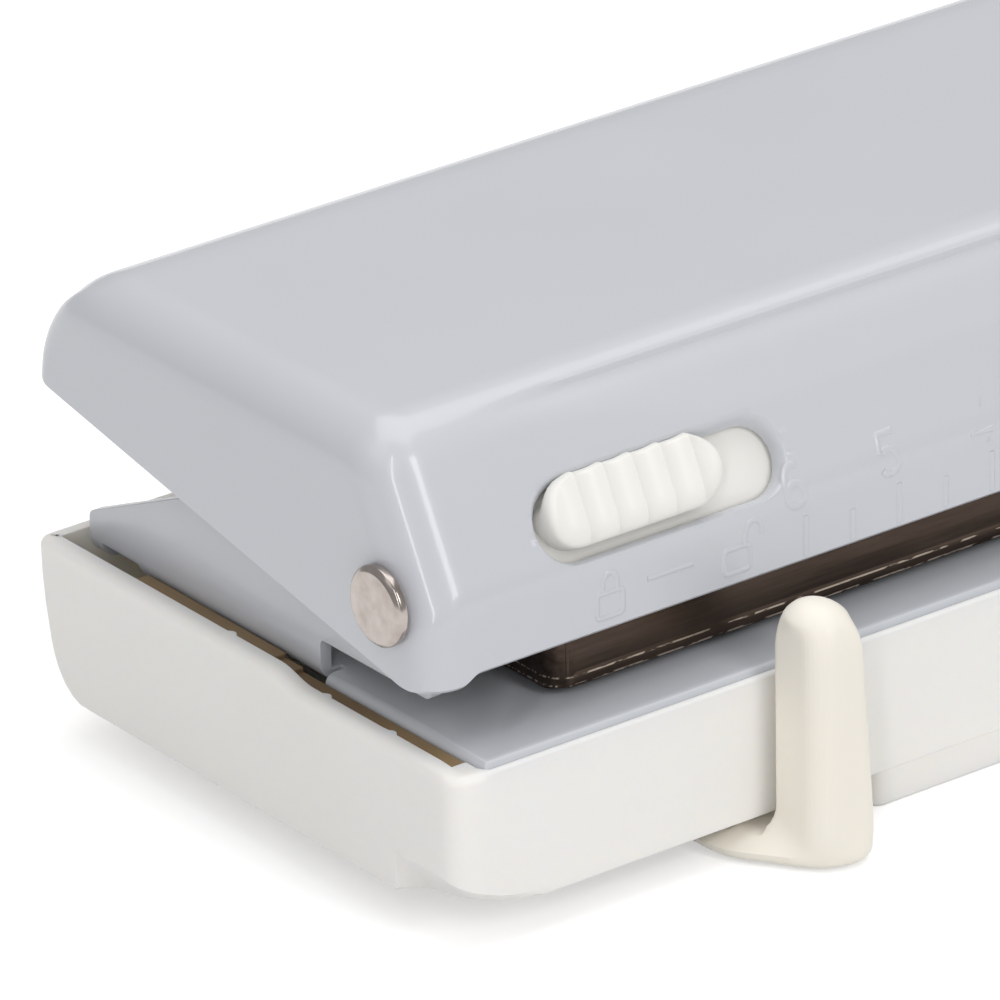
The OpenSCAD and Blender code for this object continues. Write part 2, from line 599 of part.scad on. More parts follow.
// Lock slider: ribbed button, its plate behind the wall and the hook on the plate's lower edge
module lock_slider() color("white") {
  button_x = -lock_travel / 2;
  on_lean() translate([button_x, 0, -cover_t - run_gap - 0.6]) linear_extrude(cover_t + run_gap + 0.6 + 0.9) stadium(button_l, button_h);
  // ridges for the thumb
  on_lean() intersection() {
    translate([button_x, 0, 0]) linear_extrude(4) stadium(button_l, button_h);
    for (k = [0 : ridge_count - 1]) translate([button_x + (k - (ridge_count - 1) / 2) * button_l / (ridge_count + 0.2), 0, 0.7])
      rotate([90, 0, 0]) cylinder(r = 1.35, h = 20, center = true);
  }
  translate([lock_cx + button_x, 0, 0]) along_x(button_l + 11) intersection() {
    difference() {
      cover_inside(cover_t + run_gap);
      cover_inside(cover_t + run_gap + plate_t);
    }
    translate([0, plate_lo]) square([cover_front_y + cover_lean + 1, plate_hi - plate_lo]);
  }
  translate([lock_cx + button_x - button_l / 2, block_front_y + run_gap - 0.2, plate_lo]) cube([5, 4.2, 1]);
}

// Retainer: bent strip that keeps the slider's plate against the wall
module lock_retainer() color("silver") difference() {
  translate([lock_cx, 0, 0]) along_x(retainer_l) intersection() {
    difference() {
      cover_inside(retainer_in);
      cover_inside(retainer_in + retainer_t);
    }
    translate([0, plate_lo + 3]) square([retainer_end, cover_top_z - plate_lo - 3]);
  }
  retainer_spots() translate([0, 0, -8]) cylinder(d = 2, h = 8);
}

module retainer_screws() color("silver") retainer_spots() difference() {
  union() {
    translate([0, 0, -retainer_in - retainer_t - 1.05]) cylinder(d = retainer_head_d, h = 1);
    translate([0, 0, -retainer_in - retainer_t - 0.1]) cylinder(d = 1.76, h = 3);
  }
  translate([0, 0, -retainer_in - retainer_t - 1.05]) cube([2, 0.5, 0.9], center = true);
}

module place() translate([0, -mid_y, 0]) children();
place() chip_tray();
place() rubber_feet();
place() paper_guide();
place() frame();
place() punch_block();
place() block_rivets();
place() pin(pin_xs[0]);  // punch_pin_1
place() pin(pin_xs[1]);  // punch_pin_2
place() pin(pin_xs[2]);  // punch_pin_3
place() pin(pin_xs[3]);  // punch_pin_4
place() pin(pin_xs[4]);  // punch_pin_5
place() pin(pin_xs[5]);  // punch_pin_6
place() clip(pin_xs[0]);  // pin_clip_1
place() clip(pin_xs[1]);  // pin_clip_2
place() clip(pin_xs[2]);  // pin_clip_3
place() clip(pin_xs[3]);  // pin_clip_4
place() clip(pin_xs[4]);  // pin_clip_5
place() clip(pin_xs[5]);  // pin_clip_6
place() spring(pin_xs[0]);  // return_spring_1
place() spring(pin_xs[1]);  // return_spring_2
place() spring(pin_xs[2]);  // return_spring_3
place() spring(pin_xs[3]);  // return_spring_4
place() spring(pin_xs[4]);  // return_spring_5
place() spring(pin_xs[5]);  // return_spring_6
place() handle_cover();
place() handle_lever();
place() cover_screws();
place() pivot_rivet(-1);  // pivot_rivet_left
place() pivot_rivet(1);  // pivot_rivet_right
place() lock_slider();
place() lock_retainer();
place() retainer_screws();
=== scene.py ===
# %% [markdown]
# The six-hole punch, dressed around its imported solids. The frame file gives every solid in metres with the
# table at Z = 0, so pieces made here need no fitting.

# %% Load the solids
import bpy
import bmesh
import json
from math import atan2, cos, degrees, hypot, pi, radians, sin, sqrt, tan
from mathutils import Matrix, Vector


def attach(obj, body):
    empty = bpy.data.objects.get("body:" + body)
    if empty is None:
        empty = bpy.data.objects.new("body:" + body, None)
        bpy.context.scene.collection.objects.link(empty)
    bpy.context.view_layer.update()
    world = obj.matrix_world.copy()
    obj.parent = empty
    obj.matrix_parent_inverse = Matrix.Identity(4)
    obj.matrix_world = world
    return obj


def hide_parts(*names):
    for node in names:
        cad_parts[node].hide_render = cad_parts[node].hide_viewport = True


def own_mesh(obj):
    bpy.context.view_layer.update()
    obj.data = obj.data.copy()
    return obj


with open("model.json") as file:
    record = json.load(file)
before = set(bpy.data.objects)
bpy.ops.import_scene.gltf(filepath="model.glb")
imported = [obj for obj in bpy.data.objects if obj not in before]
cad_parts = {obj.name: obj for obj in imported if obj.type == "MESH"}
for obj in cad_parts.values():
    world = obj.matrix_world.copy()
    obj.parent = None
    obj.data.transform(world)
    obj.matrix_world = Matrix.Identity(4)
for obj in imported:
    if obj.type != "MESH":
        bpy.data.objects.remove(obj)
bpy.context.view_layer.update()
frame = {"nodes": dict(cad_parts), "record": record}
nodes = frame["nodes"]

# %% [markdown]
# A punch is drawn in millimetres: X from the middle of the row of holes, Y back from the tray's front face,
# Z up from the table. One function turns such a point into the frame's metres, and is used for every mesh.

# %% From the maker's millimetres to the frame
TRAY_FRONT_Y = 25.8
HALF_LENGTH = 100.0


def to_frame(x, y, z):
    return Vector((x / 1000, (y - TRAY_FRONT_Y) / 1000, z / 1000))


print("tray front face in the frame:", [round(v, 5) for v in to_frame(0, 0, 0)])

# %% [markdown]
# Every piece made here goes through one function. It builds the mesh, joins double points, turns all faces
# outwards, smooths what is meant to be round and keeps edges sharper than the given angle crisp.

# %% A mesh piece that rides on a body
WELD = 2e-6


def add_object(name, data):
    item = bpy.data.objects.new(name, data)
    bpy.context.scene.collection.objects.link(item)
    return item


def closed_mesh(name, points, faces, weld=True):
    mesh = bpy.data.meshes.new(name)
    mesh.from_pydata([to_frame(*p) for p in points], [], faces)
    work = bmesh.new()
    work.from_mesh(mesh)
    if weld:
        bmesh.ops.remove_doubles(work, verts=work.verts, dist=WELD)
    bmesh.ops.recalc_face_normals(work, faces=work.faces)
    work.to_mesh(mesh)
    work.free()
    return mesh


def dress(piece, body, slot, crisp_deg, stands_for):
    piece.data.materials.clear()
    piece.data.materials.append(finish_of_slot[slot])
    smooth_piece(piece, crisp_deg)
    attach(piece, body)
    if stands_for:
        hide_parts(*stands_for)
    print(piece.name, "has", len(piece.data.polygons), "faces")


def make_piece(name, points, faces, body, slot, crisp_deg=35.0, stands_for=()):
    piece = add_object(name, closed_mesh(name, points, faces))
    dress(piece, body, slot, crisp_deg, stands_for)
    return piece


def smooth_piece(piece, crisp_deg):
    work = bmesh.new()
    work.from_mesh(piece.data)
    limit = radians(crisp_deg)
    for edge in work.edges:
        edge.smooth = len(edge.link_faces) == 2 and edge.calc_face_angle(0) < limit
    for face in work.faces:
        face.smooth = True
    work.to_mesh(piece.data)
    work.free()


print("points closer than", WELD * 1000, "mm are joined")

# %% [markdown]
# The camera stands in front of the left end, 37 degrees round and 25 degrees up, with a long lens: the near
# and far ends of the handle hardly differ in scale. Its axes were fitted to the straight edges of tray and
# handle.

# %% Camera
CAMERA_PLACE = Vector((-0.6304, -0.73565, 0.4573))
CAMERA_RIGHT = Vector((0.79364, -0.60816, -0.01612))
CAMERA_UP = Vector((0.26982, 0.32813, 0.90528))
CAMERA_AHEAD = Vector((0.54527, 0.72282, -0.42451))
camera_data = bpy.data.cameras.new("product_camera")
camera_data.lens = 438.2
camera_data.sensor_width = 36.0
camera_data.clip_start = 0.05
camera_data.clip_end = 50.0
camera = add_object("product_camera", camera_data)
axes = Matrix((CAMERA_RIGHT, CAMERA_UP, -CAMERA_AHEAD)).transposed().to_4x4()
camera.matrix_world = Matrix.Translation(CAMERA_PLACE) @ axes
bpy.context.scene.camera = camera
print("camera stands", round(CAMERA_PLACE.length, 3), "m from the punch's middle")

# %% [markdown]
# A finish is a small node tree. The helpers below add a node and wire it; colours are written as the eye
# sees them on a screen, and turned into the linear values that the shader wants.

# %% Helpers for finishes
def linear(*levels):
    shares = [level / 255 for level in levels]
    return tuple(s / 12.92 if s <= 0.04045 else ((s + 0.055) / 1.055) ** 2.4 for s in shares) + (1.0,)


def new_finish(name):
    finish = bpy.data.materials.new(name)
    finish.use_nodes = True
    shader = finish.node_tree.nodes["Principled BSDF"]
    return finish, finish.node_tree, shader


def add_node(tree, kind, **values):
    node = tree.nodes.new(kind)
    for key, value in values.items():
        if key in node.inputs:
            node.inputs[key].default_value = value
        else:
            setattr(node, key, value)
    return node


def put(node, values):
    for key, value in values.items():
        node.inputs[key].default_value = value


def object_points(tree, stretch=(1.0, 1.0, 1.0)):
    place = add_node(tree, "ShaderNodeTexCoord")
    mapping = add_node(tree, "ShaderNodeMapping", Scale=stretch)
    tree.links.new(place.outputs["Object"], mapping.inputs["Vector"])
    return mapping.outputs["Vector"]


def cloud(tree, points, scale, detail=3.0, rough=0.55):
    noise = add_node(tree, "ShaderNodeTexNoise", Scale=scale, Detail=detail, Roughness=rough)
    tree.links.new(points, noise.inputs["Vector"])
    return noise.outputs["Fac"]


def ramp(tree, factor, low, high):
    steps = add_node(tree, "ShaderNodeValToRGB")
    for stop, place, colour in zip(steps.color_ramp.elements, (0.3, 0.7), (low, high)):
        stop.position = place
        stop.color = colour
    tree.links.new(factor, steps.inputs["Fac"])
    return steps.outputs["Color"]


def spread(tree, factor, low, high, start=0.0, end=1.0, curve="LINEAR"):
    span = add_node(tree, "ShaderNodeMapRange", interpolation_type=curve)
    put(span, {"From Min": start, "From Max": end, "To Min": low, "To Max": high})
    tree.links.new(factor, span.inputs["Value"])
    return span.outputs["Result"]


def reckon(tree, operation, first, second=0.0):
    node = add_node(tree, "ShaderNodeMath", operation=operation)
    for socket, value in zip(node.inputs, (first, second)):
        if isinstance(value, float):
            socket.default_value = value
        else:
            tree.links.new(value, socket)
    return node.outputs[0]


def relief(tree, height, shader, strength, depth):
    bump = add_node(tree, "ShaderNodeBump", Strength=strength, Distance=depth)
    tree.links.new(height, bump.inputs["Height"])
    tree.links.new(bump.outputs["Normal"], shader.inputs["Normal"])


print("middle grey in linear light:", round(linear(128, 128, 128)[0], 3))

# %% [markdown]
# Moulded and painted pieces share one recipe: a base colour that drifts a little in large soft patches, a
# gloss that changes slightly from place to place, and a fine skin in the surface. What differs is how
# strong each is: the handle is a smooth lacquer, the tray a duller moulding, the guide a waxy one.

# %% Moulded and painted finishes
def moulded(name, light, dark, gloss_low, gloss_high, skin, skin_scale, coat=0.0, glow=0.0):
    finish, tree, shader = new_finish(name)
    points = object_points(tree)
    patches = cloud(tree, points, 45.0, 2.0)
    tree.links.new(ramp(tree, patches, linear(*dark), linear(*light)), shader.inputs["Base Color"])
    wipes = cloud(tree, points, 140.0, 3.0)
    tree.links.new(spread(tree, wipes, gloss_low, gloss_high), shader.inputs["Roughness"])
    relief(tree, cloud(tree, points, skin_scale, 2.0), shader, skin, 0.0002)
    put(shader, {"Coat Weight": coat, "Coat Roughness": 0.06, "Subsurface Weight": glow,
                 "Subsurface Radius": (1.0, 0.75, 0.45), "Subsurface Scale": 0.0025})
    return finish


handle_grey = moulded("handle_grey", (203, 205, 211), (201, 203, 209), 0.3, 0.34, 0.02, 1800.0, 0.4)
frame_grey = moulded("frame_grey", (199, 201, 207), (195, 198, 203), 0.29, 0.38, 0.03, 1800.0, 0.3)
tray_cream = moulded("tray_cream", (246, 243, 239), (244, 241, 236), 0.42, 0.5, 0.03, 1400.0, 0.0, 0.3)
guide_cream = moulded("guide_cream", (247, 242, 231), (245, 239, 227), 0.38, 0.46, 0.03, 900.0)
lock_white = moulded("lock_white", (243, 241, 236), (241, 239, 233), 0.36, 0.44, 0.03, 900.0)
rubber_dark = moulded("rubber_dark", (62, 62, 64), (48, 48, 50), 0.7, 0.85, 0.2, 1800.0)
print("moulded finishes:", [m.name for m in bpy.data.materials if m.use_nodes])

# %% [markdown]
# The metals take their look from what they mirror, so their colour stays simple and the gloss carries the
# story: the block is black nickel with fine lines along its length, the pins are ground bright, the rivets
# plated. Along the block's lower edge two broken bright lines are painted into the colour: painted
# highlights for the lines of light on that edge, and partly bare metal where paper scours the plating.

# %% Metal finishes
def metal(name, light, dark, gloss_low, gloss_high, grain, lines, depth=0.15):
    finish, tree, shader = new_finish(name)
    points = object_points(tree, grain)
    streaks = cloud(tree, points, lines, 4.0, 0.6)
    tree.links.new(ramp(tree, streaks, linear(*dark), linear(*light)), shader.inputs["Base Color"])
    tree.links.new(spread(tree, streaks, gloss_low, gloss_high), shader.inputs["Roughness"])
    relief(tree, streaks, shader, depth, 0.0001)
    shader.inputs["Metallic"].default_value = 1.0
    return finish


# heights of the two painted highlight lines on the block's lower edge
HIGHLIGHT_LINE_HEIGHTS = (0.01786, 0.01862)
HIGHLIGHT_LINE_WIDTH = 0.00011


def highlight_line_mask(tree, height, middle):
    away = reckon(tree, "ABSOLUTE", reckon(tree, "SUBTRACT", height, middle))
    return spread(tree, away, 0.0, 1.0, HIGHLIGHT_LINE_WIDTH, HIGHLIGHT_LINE_WIDTH * 0.4, "SMOOTHSTEP")


def wear_and_highlight_lines(finish, bare_and_highlight_colour):
    tree = finish.node_tree
    base = tree.nodes["Principled BSDF"].inputs["Base Color"]
    plating = base.links[0].from_socket
    flecks = cloud(tree, object_points(tree, (650.0, 3000.0, 3000.0)), 1.0, 2.0, 0.5)
    # breaks the painted highlight lines into dashes and specks
    bare = spread(tree, flecks, 0.0, 1.0, 0.44, 0.56, "SMOOTHSTEP")
    place = add_node(tree, "ShaderNodeSeparateXYZ")
    tree.links.new(object_points(tree), place.inputs["Vector"])
    highlight_bands = [highlight_line_mask(tree, place.outputs["Z"], middle) for middle in HIGHLIGHT_LINE_HEIGHTS]
    wear_and_highlight_mask = reckon(tree, "MULTIPLY", bare, reckon(tree, "MAXIMUM", *highlight_bands))
    with_highlight_lines = add_node(tree, "ShaderNodeMix", data_type="RGBA")
    tree.links.new(wear_and_highlight_mask, with_highlight_lines.inputs[0])
    tree.links.new(plating, with_highlight_lines.inputs[6])
    with_highlight_lines.inputs[7].default_value = linear(*bare_and_highlight_colour)
    tree.links.new(with_highlight_lines.outputs[2], base)


# painted highlight: two broken light lines are painted low on the block for the lines of light on its edge,
# partly bare metal
block_black = metal("block_black", (80, 68, 60), (56, 47, 41), 0.28, 0.36, (60.0, 900.0, 900.0), 1.2, 0.05)
wear_and_highlight_lines(block_black, (190, 176, 160))
steel = metal("steel", (198, 198, 196), (168, 168, 166), 0.28, 0.4, (500.0, 500.0, 90.0), 1.0)
nickel = metal("nickel", (187, 178, 173), (168, 158, 152), 0.14, 0.26, (300.0, 300.0, 300.0), 2.2, 0.1)
print("metal finishes:", block_black.name, steel.name, nickel.name)

# %% [markdown]
# Every slot of the record has its finish. The solids that stay as they are get theirs here, and the pieces
# made below get theirs in the same way.

# %% Finishes on the solids
finish_of_slot = {
    "tray_cream": tray_cream, "guide_cream": guide_cream, "handle_grey": handle_grey,
    "frame_grey": frame_grey, "block_black": block_black, "steel": steel, "nickel": nickel,
    "lock_white": lock_white, "rubber_dark": rubber_dark,
}
slot_of_node = {entry["node"]: entry["material_slot"] for entry in frame["record"]["subparts"]}
for node_name, solid in nodes.items():
    solid.data.materials.clear()
    solid.data.materials.append(finish_of_slot[slot_of_node[node_name]])
print("finished solids:", len(slot_of_node))

# %% [markdown]
# The stage is a pale floor that carries the shadow, a white surround and large soft lamps. The floor adds a
# little of its own light towards the camera and towards glossy surfaces, so the paper-white ground of a
# product picture doesn't need more light on the punch itself.

# %% Floor and surround
FLOOR_HALF = 3.0
FLOOR_GLOW = 0.42
SKY_ON_PUNCH, SKY_SEEN = 0.42, 1.0
floor_finish, floor_tree, floor_shader = new_finish("pale_floor")
floor_points = object_points(floor_tree)
floor_patches = cloud(floor_tree, floor_points, 3.0)
floor_colour = ramp(floor_tree, floor_patches, (0.80, 0.80, 0.80, 1), (0.82, 0.82, 0.82, 1))
floor_tree.links.new(floor_colour, floor_shader.inputs["Base Color"])
put(floor_shader, {"Roughness": 0.9, "Specular IOR Level": 0.1, "Emission Color": (1, 1, 1, 1)})
path = add_node(floor_tree, "ShaderNodeLightPath")
seen_or_mirrored = reckon(floor_tree, "MAXIMUM", path.outputs["Is Camera Ray"], path.outputs["Is Glossy Ray"])
own_light = reckon(floor_tree, "MULTIPLY", seen_or_mirrored, FLOOR_GLOW)
floor_tree.links.new(own_light, floor_shader.inputs["Emission Strength"])
floor_mesh = bpy.data.meshes.new("floor")
floor_mesh.from_pydata([(-FLOOR_HALF, -FLOOR_HALF, 0), (FLOOR_HALF, -FLOOR_HALF, 0),
                        (FLOOR_HALF, FLOOR_HALF, 0), (-FLOOR_HALF, FLOOR_HALF, 0)], [], [(0, 1, 2, 3)])
floor_mesh.materials.append(floor_finish)
floor = add_object("floor", floor_mesh)

world = bpy.data.worlds.new("white_surround")
bpy.context.scene.world = world
world.use_nodes = True
sky = world.node_tree.nodes["Background"]
sky.inputs["Color"].default_value = (1, 1, 1, 1)
seen = add_node(world.node_tree, "ShaderNodeLightPath").outputs["Is Camera Ray"]
sky_level = spread(world.node_tree, seen, SKY_ON_PUNCH, SKY_SEEN)
world.node_tree.links.new(sky_level, sky.inputs["Strength"])
print("floor is", 2 * FLOOR_HALF, "m across")

# %% [markdown]
# Large lamps give the even light of a product picture: a big one above, a narrow strip that draws the line
# of light on the rounded left corner, one from the front and a weak fill from the left. The larger a lamp,
# the softer its shadow, so the sizes matter as much as the watts.

# %% Lamps
def soft_lamp(name, place, aim, width, height, watts):
    data = bpy.data.lights.new(name, "AREA")
    data.shape = "RECTANGLE"
    data.size = width
    data.size_y = height
    data.energy = watts
    lamp = add_object(name, data)
    lamp.location = place
    lamp.rotation_mode = "QUATERNION"
    lamp.rotation_quaternion = (Vector(aim) - Vector(place)).to_track_quat("-Z", "Y")


soft_lamp("top_softbox", (0.1, 0.1, 0.9), (0, 0, 0), 0.9, 0.9, 4.1)
soft_lamp("front_left_strip", (-0.72, -0.62, 0.5), (0, 0, 0.02), 0.07, 0.8, 1.7)
soft_lamp("front_strip", (0.05, -0.95, 0.65), (0, 0, 0.02), 0.25, 0.5, 2.7)
soft_lamp("left_fill", (-0.66, -0.05, 0.78), (0, 0, 0.02), 0.45, 0.6, 0.6)
bpy.context.scene.view_settings.view_transform = "Standard"

# %% [markdown]
# The handle is one lacquered shell: an upright front wall, a leaning face, a long flat top and a rounded
# rear. A box with its corners bevelled would crease where three roundings meet. So the side outline is
# drawn once as four straight lines, and near each end every line moves inwards along a quarter circle: a
# soft end all round.

# %% Side outline of the handle
HANDLE_HALF = 99.7
WALL = 1.6
FRONT_Y, BEND_Z = 4.2, 29.4
TOP_Z, TOP_Y = 43.2, 11.4
REAR_TOP_Y, REAR_Y, REAR_Z = 57.2, 58.4, 32.2
SIDE_CORNERS = [(FRONT_Y, 8.0), (FRONT_Y, BEND_Z), (TOP_Y, TOP_Z), (REAR_TOP_Y, TOP_Z), (REAR_Y, REAR_Z)]
SIDE_LINES = list(zip(SIDE_CORNERS, SIDE_CORNERS[1:]))
END_RADII = [3.6, 4.8, 5.0, 1.5]
REAR_ROLL = 2.0
LOWER_CHAMFER = 0.3
CORNER_RADII = [6.0, 6.0, 9.0]
RIM_CORNER_Z, RIM_MIDDLE_RISE = 22.05, 0.8
RIM_DROP_FROM, RIM_DROP_TO = HANDLE_HALF - 5.8, HANDLE_HALF - 3.9
END_RIM_Y, END_RIM_Z = 8.2, 22.4
ROLL_SHARE = 0.8


def smooth_step(low, high, value):
    share = min(max((value - low) / (high - low), 0.0), 1.0)
    return share * share * (3 - 2 * share)


def shifted(line, depth):
    (ay, az), (by, bz) = line
    length = hypot(by - ay, bz - az)
    ny, nz = (bz - az) / length, -(by - ay) / length
    return (ay + ny * depth, az + nz * depth), (by + ny * depth, bz + nz * depth)


def crossing(first, second):
    (ay, az), (by, bz) = first
    (cy, cz), (dy, dz) = second
    turn = (by - ay) * (dz - cz) - (bz - az) * (dy - cy)
    share = ((cy - ay) * (dz - cz) - (cz - az) * (dy - cy)) / turn
    return ay + (by - ay) * share, az + (bz - az) * share


def rounded_corner(before, corner, after, radius, count):
    to_before = (before - corner).normalized()
    to_after = (after - corner).normalized()
    half = to_before.angle(to_after) / 2
    middle = corner + (to_before + to_after).normalized() * radius / sin(half)
    first = corner + to_before * radius / tan(half) - middle
    last = corner + to_after * radius / tan(half) - middle
    turn = first.angle_signed(last)
    points = []
    for step in range(count + 1):
        angle = -turn * step / count
        c, s = cos(angle), sin(angle)
        points.append((middle.x + first.x * c - first.y * s, middle.y + first.x * s + first.y * c))
    return points


def lower_edge(x, y):
    # the rim hangs a little lower at the front corners and rises to the rear
    middle = 1.0 - smooth_step(RIM_DROP_FROM, RIM_DROP_TO, abs(x))
    front = RIM_CORNER_Z + RIM_MIDDLE_RISE * middle
    roll = min(max(y - (REAR_Y - REAR_ROLL), 0.0), REAR_ROLL)
    rise = REAR_ROLL - sqrt(REAR_ROLL ** 2 - roll ** 2)
    end = END_RIM_Z + (y - END_RIM_Y) * (REAR_Z - END_RIM_Z) / (REAR_Y - END_RIM_Y)
    return max(front, end) + ROLL_SHARE * rise


LEAN = atan2(TOP_Y - FRONT_Y, TOP_Z - BEND_Z)
print("leaning face:", round(degrees(LEAN), 1), "degrees from upright")

# %% [markdown]
# Below the front of the top a long shallow scoop runs along the handle, where the fingers lie. It fades out
# towards the ends: its upper edge is a soft step, its lower edge a faint crease that catches the light.

# %% The scoop along the front of the top
SCOOP_DEPTH = 0.75
SCOOP_STEP, SCOOP_RISER, SCOOP_CREASE = 15.3, 1.0, 8.2
CREASE_START = SCOOP_STEP - 2.0
DEPTH_FADE, CREASE_FADE = (9.0, 26.0), (12.0, 40.0)
SCOOP_REAR_Y = 16.0


def scoop(x, along):
    from_end = HALF_LENGTH - abs(x)
    depth = SCOOP_DEPTH * smooth_step(*DEPTH_FADE, from_end)
    crease = CREASE_START - (CREASE_START - SCOOP_CREASE) * smooth_step(*CREASE_FADE, from_end)
    foot = SCOOP_STEP - SCOOP_RISER
    if along <= crease or along >= SCOOP_STEP:
        return 0.0
    if along <= foot:
        return depth * (along - crease) / (foot - crease)
    return depth * (1 - smooth_step(foot, SCOOP_STEP, along))


print("scoop in the middle:", round(scoop(0.0, SCOOP_STEP - SCOOP_RISER), 2), "mm deep")

# %% [markdown]
# A cross-section is the side outline at one place along the handle. The closer it lies to an end, the
# further its four lines are drawn in. The corners between them are rounded, and the scoop is pressed in
# last.

# %% One cross-section of the handle
LINE_STEPS = [5, 30, 24, 5]
CORNER_STEPS = 12


def side_points(x, end_distance, extra):
    depths = []
    for radius in END_RADII:
        reach = max(radius - extra, 0.6)
        gap = max(reach - end_distance, 0.0)
        depths.append(extra + reach - sqrt(max(reach * reach - gap * gap, 0.0)))
    lines = [shifted(line, depth) for line, depth in zip(SIDE_LINES, depths)]
    corners = [crossing(lines[i], lines[i + 1]) for i in range(3)]
    front_y = lines[0][0][0]
    chamfer = LOWER_CHAMFER if extra == 0 else 0.0
    start = (front_y, lower_edge(x, front_y) + chamfer)
    slope = (lines[3][1][0] - lines[3][0][0]) / (lines[3][1][1] - lines[3][0][1])
    end_y = corners[2][0] + slope * (REAR_Z - corners[2][1])
    end = (end_y, lower_edge(x, end_y))
    path = [start] + corners + [end]
    arcs = []
    for index in range(3):
        before, corner, after = (Vector(p) for p in path[index:index + 3])
        half = (before - corner).angle(after - corner) / 2
        shorter = min((before - corner).length, (after - corner).length)
        radius = min(max(CORNER_RADII[index] - depths[index + 1], 0.8), 0.9 * shorter * tan(half))
        arcs.append(rounded_corner(before, corner, after, radius, CORNER_STEPS))
    points = [(front_y + chamfer, lower_edge(x, front_y))]

    def straight(a, b, count):
        for step in range(count):
            points.append((a[0] + (b[0] - a[0]) * step / count, a[1] + (b[1] - a[1]) * step / count))
    if extra > 0:
        start = (start[0], start[1] + 0.02)
    here = start
    for corner_arc, count in zip(arcs, LINE_STEPS):
        straight(here, corner_arc[0], count)
        points.extend(corner_arc[:-1])
        here = corner_arc[-1]
    straight(here, end, LINE_STEPS[3])
    points.append(end)
    if extra > 0:
        return points
    bend = Vector(corners[0])
    lean = (Vector(corners[1]) - bend).normalized()
    inward = Vector((lean.y, -lean.x))
    pressed = []
    for point in points:
        along = (Vector(point) - bend).dot(lean)
        depth = scoop(x, along) if point[0] < SCOOP_REAR_Y else 0.0
        pressed.append((point[0] + inward.x * depth, point[1] + inward.y * depth))
    return pressed


print("points in a cross-section:", len(side_points(0.0, 50.0, 0.0)))

# %% [markdown]
# The stations lie close together where an end turns and where the scoop fades, and far apart between. The
# inner skin is the same outline, one wall thickness further in, and the two skins are joined along the
# lower rim.

# %% The handle shell
END_RUN, END_STEPS = 8.0, 28
END_RIM_COUNT = 32


def shell_grid(extra):
    half = HANDLE_HALF - extra
    distances = [END_RUN * (1 - cos(radians(90 * k / END_STEPS))) for k in range(END_STEPS + 1)]
    distances += [10, 12, 14, 16, 18, 20, 22, 24, 26, 28, 31, 34, 37, 40, 46, 54, 64, 76, 88]
    rows = [(-half + d * (1 if d > END_RUN else half / HANDLE_HALF), d) for d in distances]
    rows.append((0.0, half))
    rows += [(-x, d) for x, d in reversed(rows[:-1])]
    return [[(x, y, z) for y, z in side_points(x, d, extra)] for x, d in rows]


def shell_mesh():
    points, faces = [], []
    outer, inner = shell_grid(0.0), shell_grid(WALL)
    width = len(outer[0])
    for grid in (outer, inner):
        base = len(points)
        for row in grid:
            points.extend(row)
        for i in range(len(grid) - 1):
            for k in range(width - 1):
                a = base + i * width + k
                faces.append((a, a + 1, a + width + 1, a + width))
    second = len(outer) * width
    for i in range(len(outer) - 1):
        for k in (0, width - 1):
            a = i * width + k
            faces.append((a, a + width, second + a + width, second + a))
    for i in (0, len(outer) - 1):
        rims = []
        for base in (0, second):
            row = list(range(base + i * width, base + (i + 1) * width))
            first, last = points[row[0]], points[row[-1]]
            rim = [row[-1]]
            for step in range(1, END_RIM_COUNT):
                y = last[1] + (first[1] - last[1]) * (step / END_RIM_COUNT) ** 2
                points.append((first[0], y, lower_edge(first[0], y)))
                rim.append(len(points) - 1)
            rim.append(row[0])
            faces.append(tuple(row + rim[1:-1]))
            rims.append(rim)
        for k in range(END_RIM_COUNT):
            faces.append((rims[0][k], rims[0][k + 1], rims[1][k + 1], rims[1][k]))
    return points, faces


handle_shell = make_piece("handle_shell", *shell_mesh(), "handle", "handle_grey", 30.0, ["handle_cover"])

# %% [markdown]
# Holes are cut with a second solid that is taken away from the piece. Such a solid is a stack of outlines,
# closed at both ends. Blender's exact method is slower than its fast one, but keeps the edges of the cut
# clean. After a cut the shading is weighed by the size of the faces, so large flat parts stay flat beside
# the fine faces at a hole.

# %% Cutting one piece with another
def stacked(loops, close_end=True):
    points = [p for loop in loops for p in loop]
    count = len(loops[0])
    faces = []
    for i in range(len(loops) - 1):
        for k in range(count):
            a, b = i * count + k, i * count + (k + 1) % count
            faces.append((a, b, b + count, a + count))
    faces.append(tuple(range(count)))
    if close_end:
        faces.append(tuple((len(loops) - 1) * count + k for k in range(count)))
    return points, faces


def keep_modified(piece):
    bpy.context.view_layer.update()
    shaped = bpy.data.meshes.new_from_object(piece.evaluated_get(bpy.context.evaluated_depsgraph_get()))
    piece.modifiers.clear()
    old = piece.data
    piece.data = shaped
    bpy.data.meshes.remove(old)


def reshape(piece, points, faces, how):
    mesh = closed_mesh("cutter", points, faces, weld=False)
    cutter = add_object("cutter", mesh)
    cut = piece.modifiers.new("cut", "BOOLEAN")
    cut.operation = how
    cut.solver = "EXACT"
    cut.object = cutter
    keep_modified(piece)
    bpy.data.objects.remove(cutter)
    bpy.data.meshes.remove(mesh)


def cut_away(piece, points, faces):
    reshape(piece, points, faces, "DIFFERENCE")


def even_shading(piece):
    even = piece.modifiers.new("even", "WEIGHTED_NORMAL")
    even.mode = "FACE_AREA"
    even.weight = 100
    even.keep_sharp = True
    keep_modified(piece)


prism_points, prism_faces = stacked([[(0, 0, z), (1, 0, z), (0, 1, z)] for z in (0, 1)])
print("a stack of two triangles closes with", len(prism_faces), "faces on", len(prism_points), "points")

# %% [markdown]
# The lock's slot is cut with a solid in its own shape, a long hole with round ends, that widens at the face
# into a rolled rim. The bores of the pivot rivets are cut in the same way.

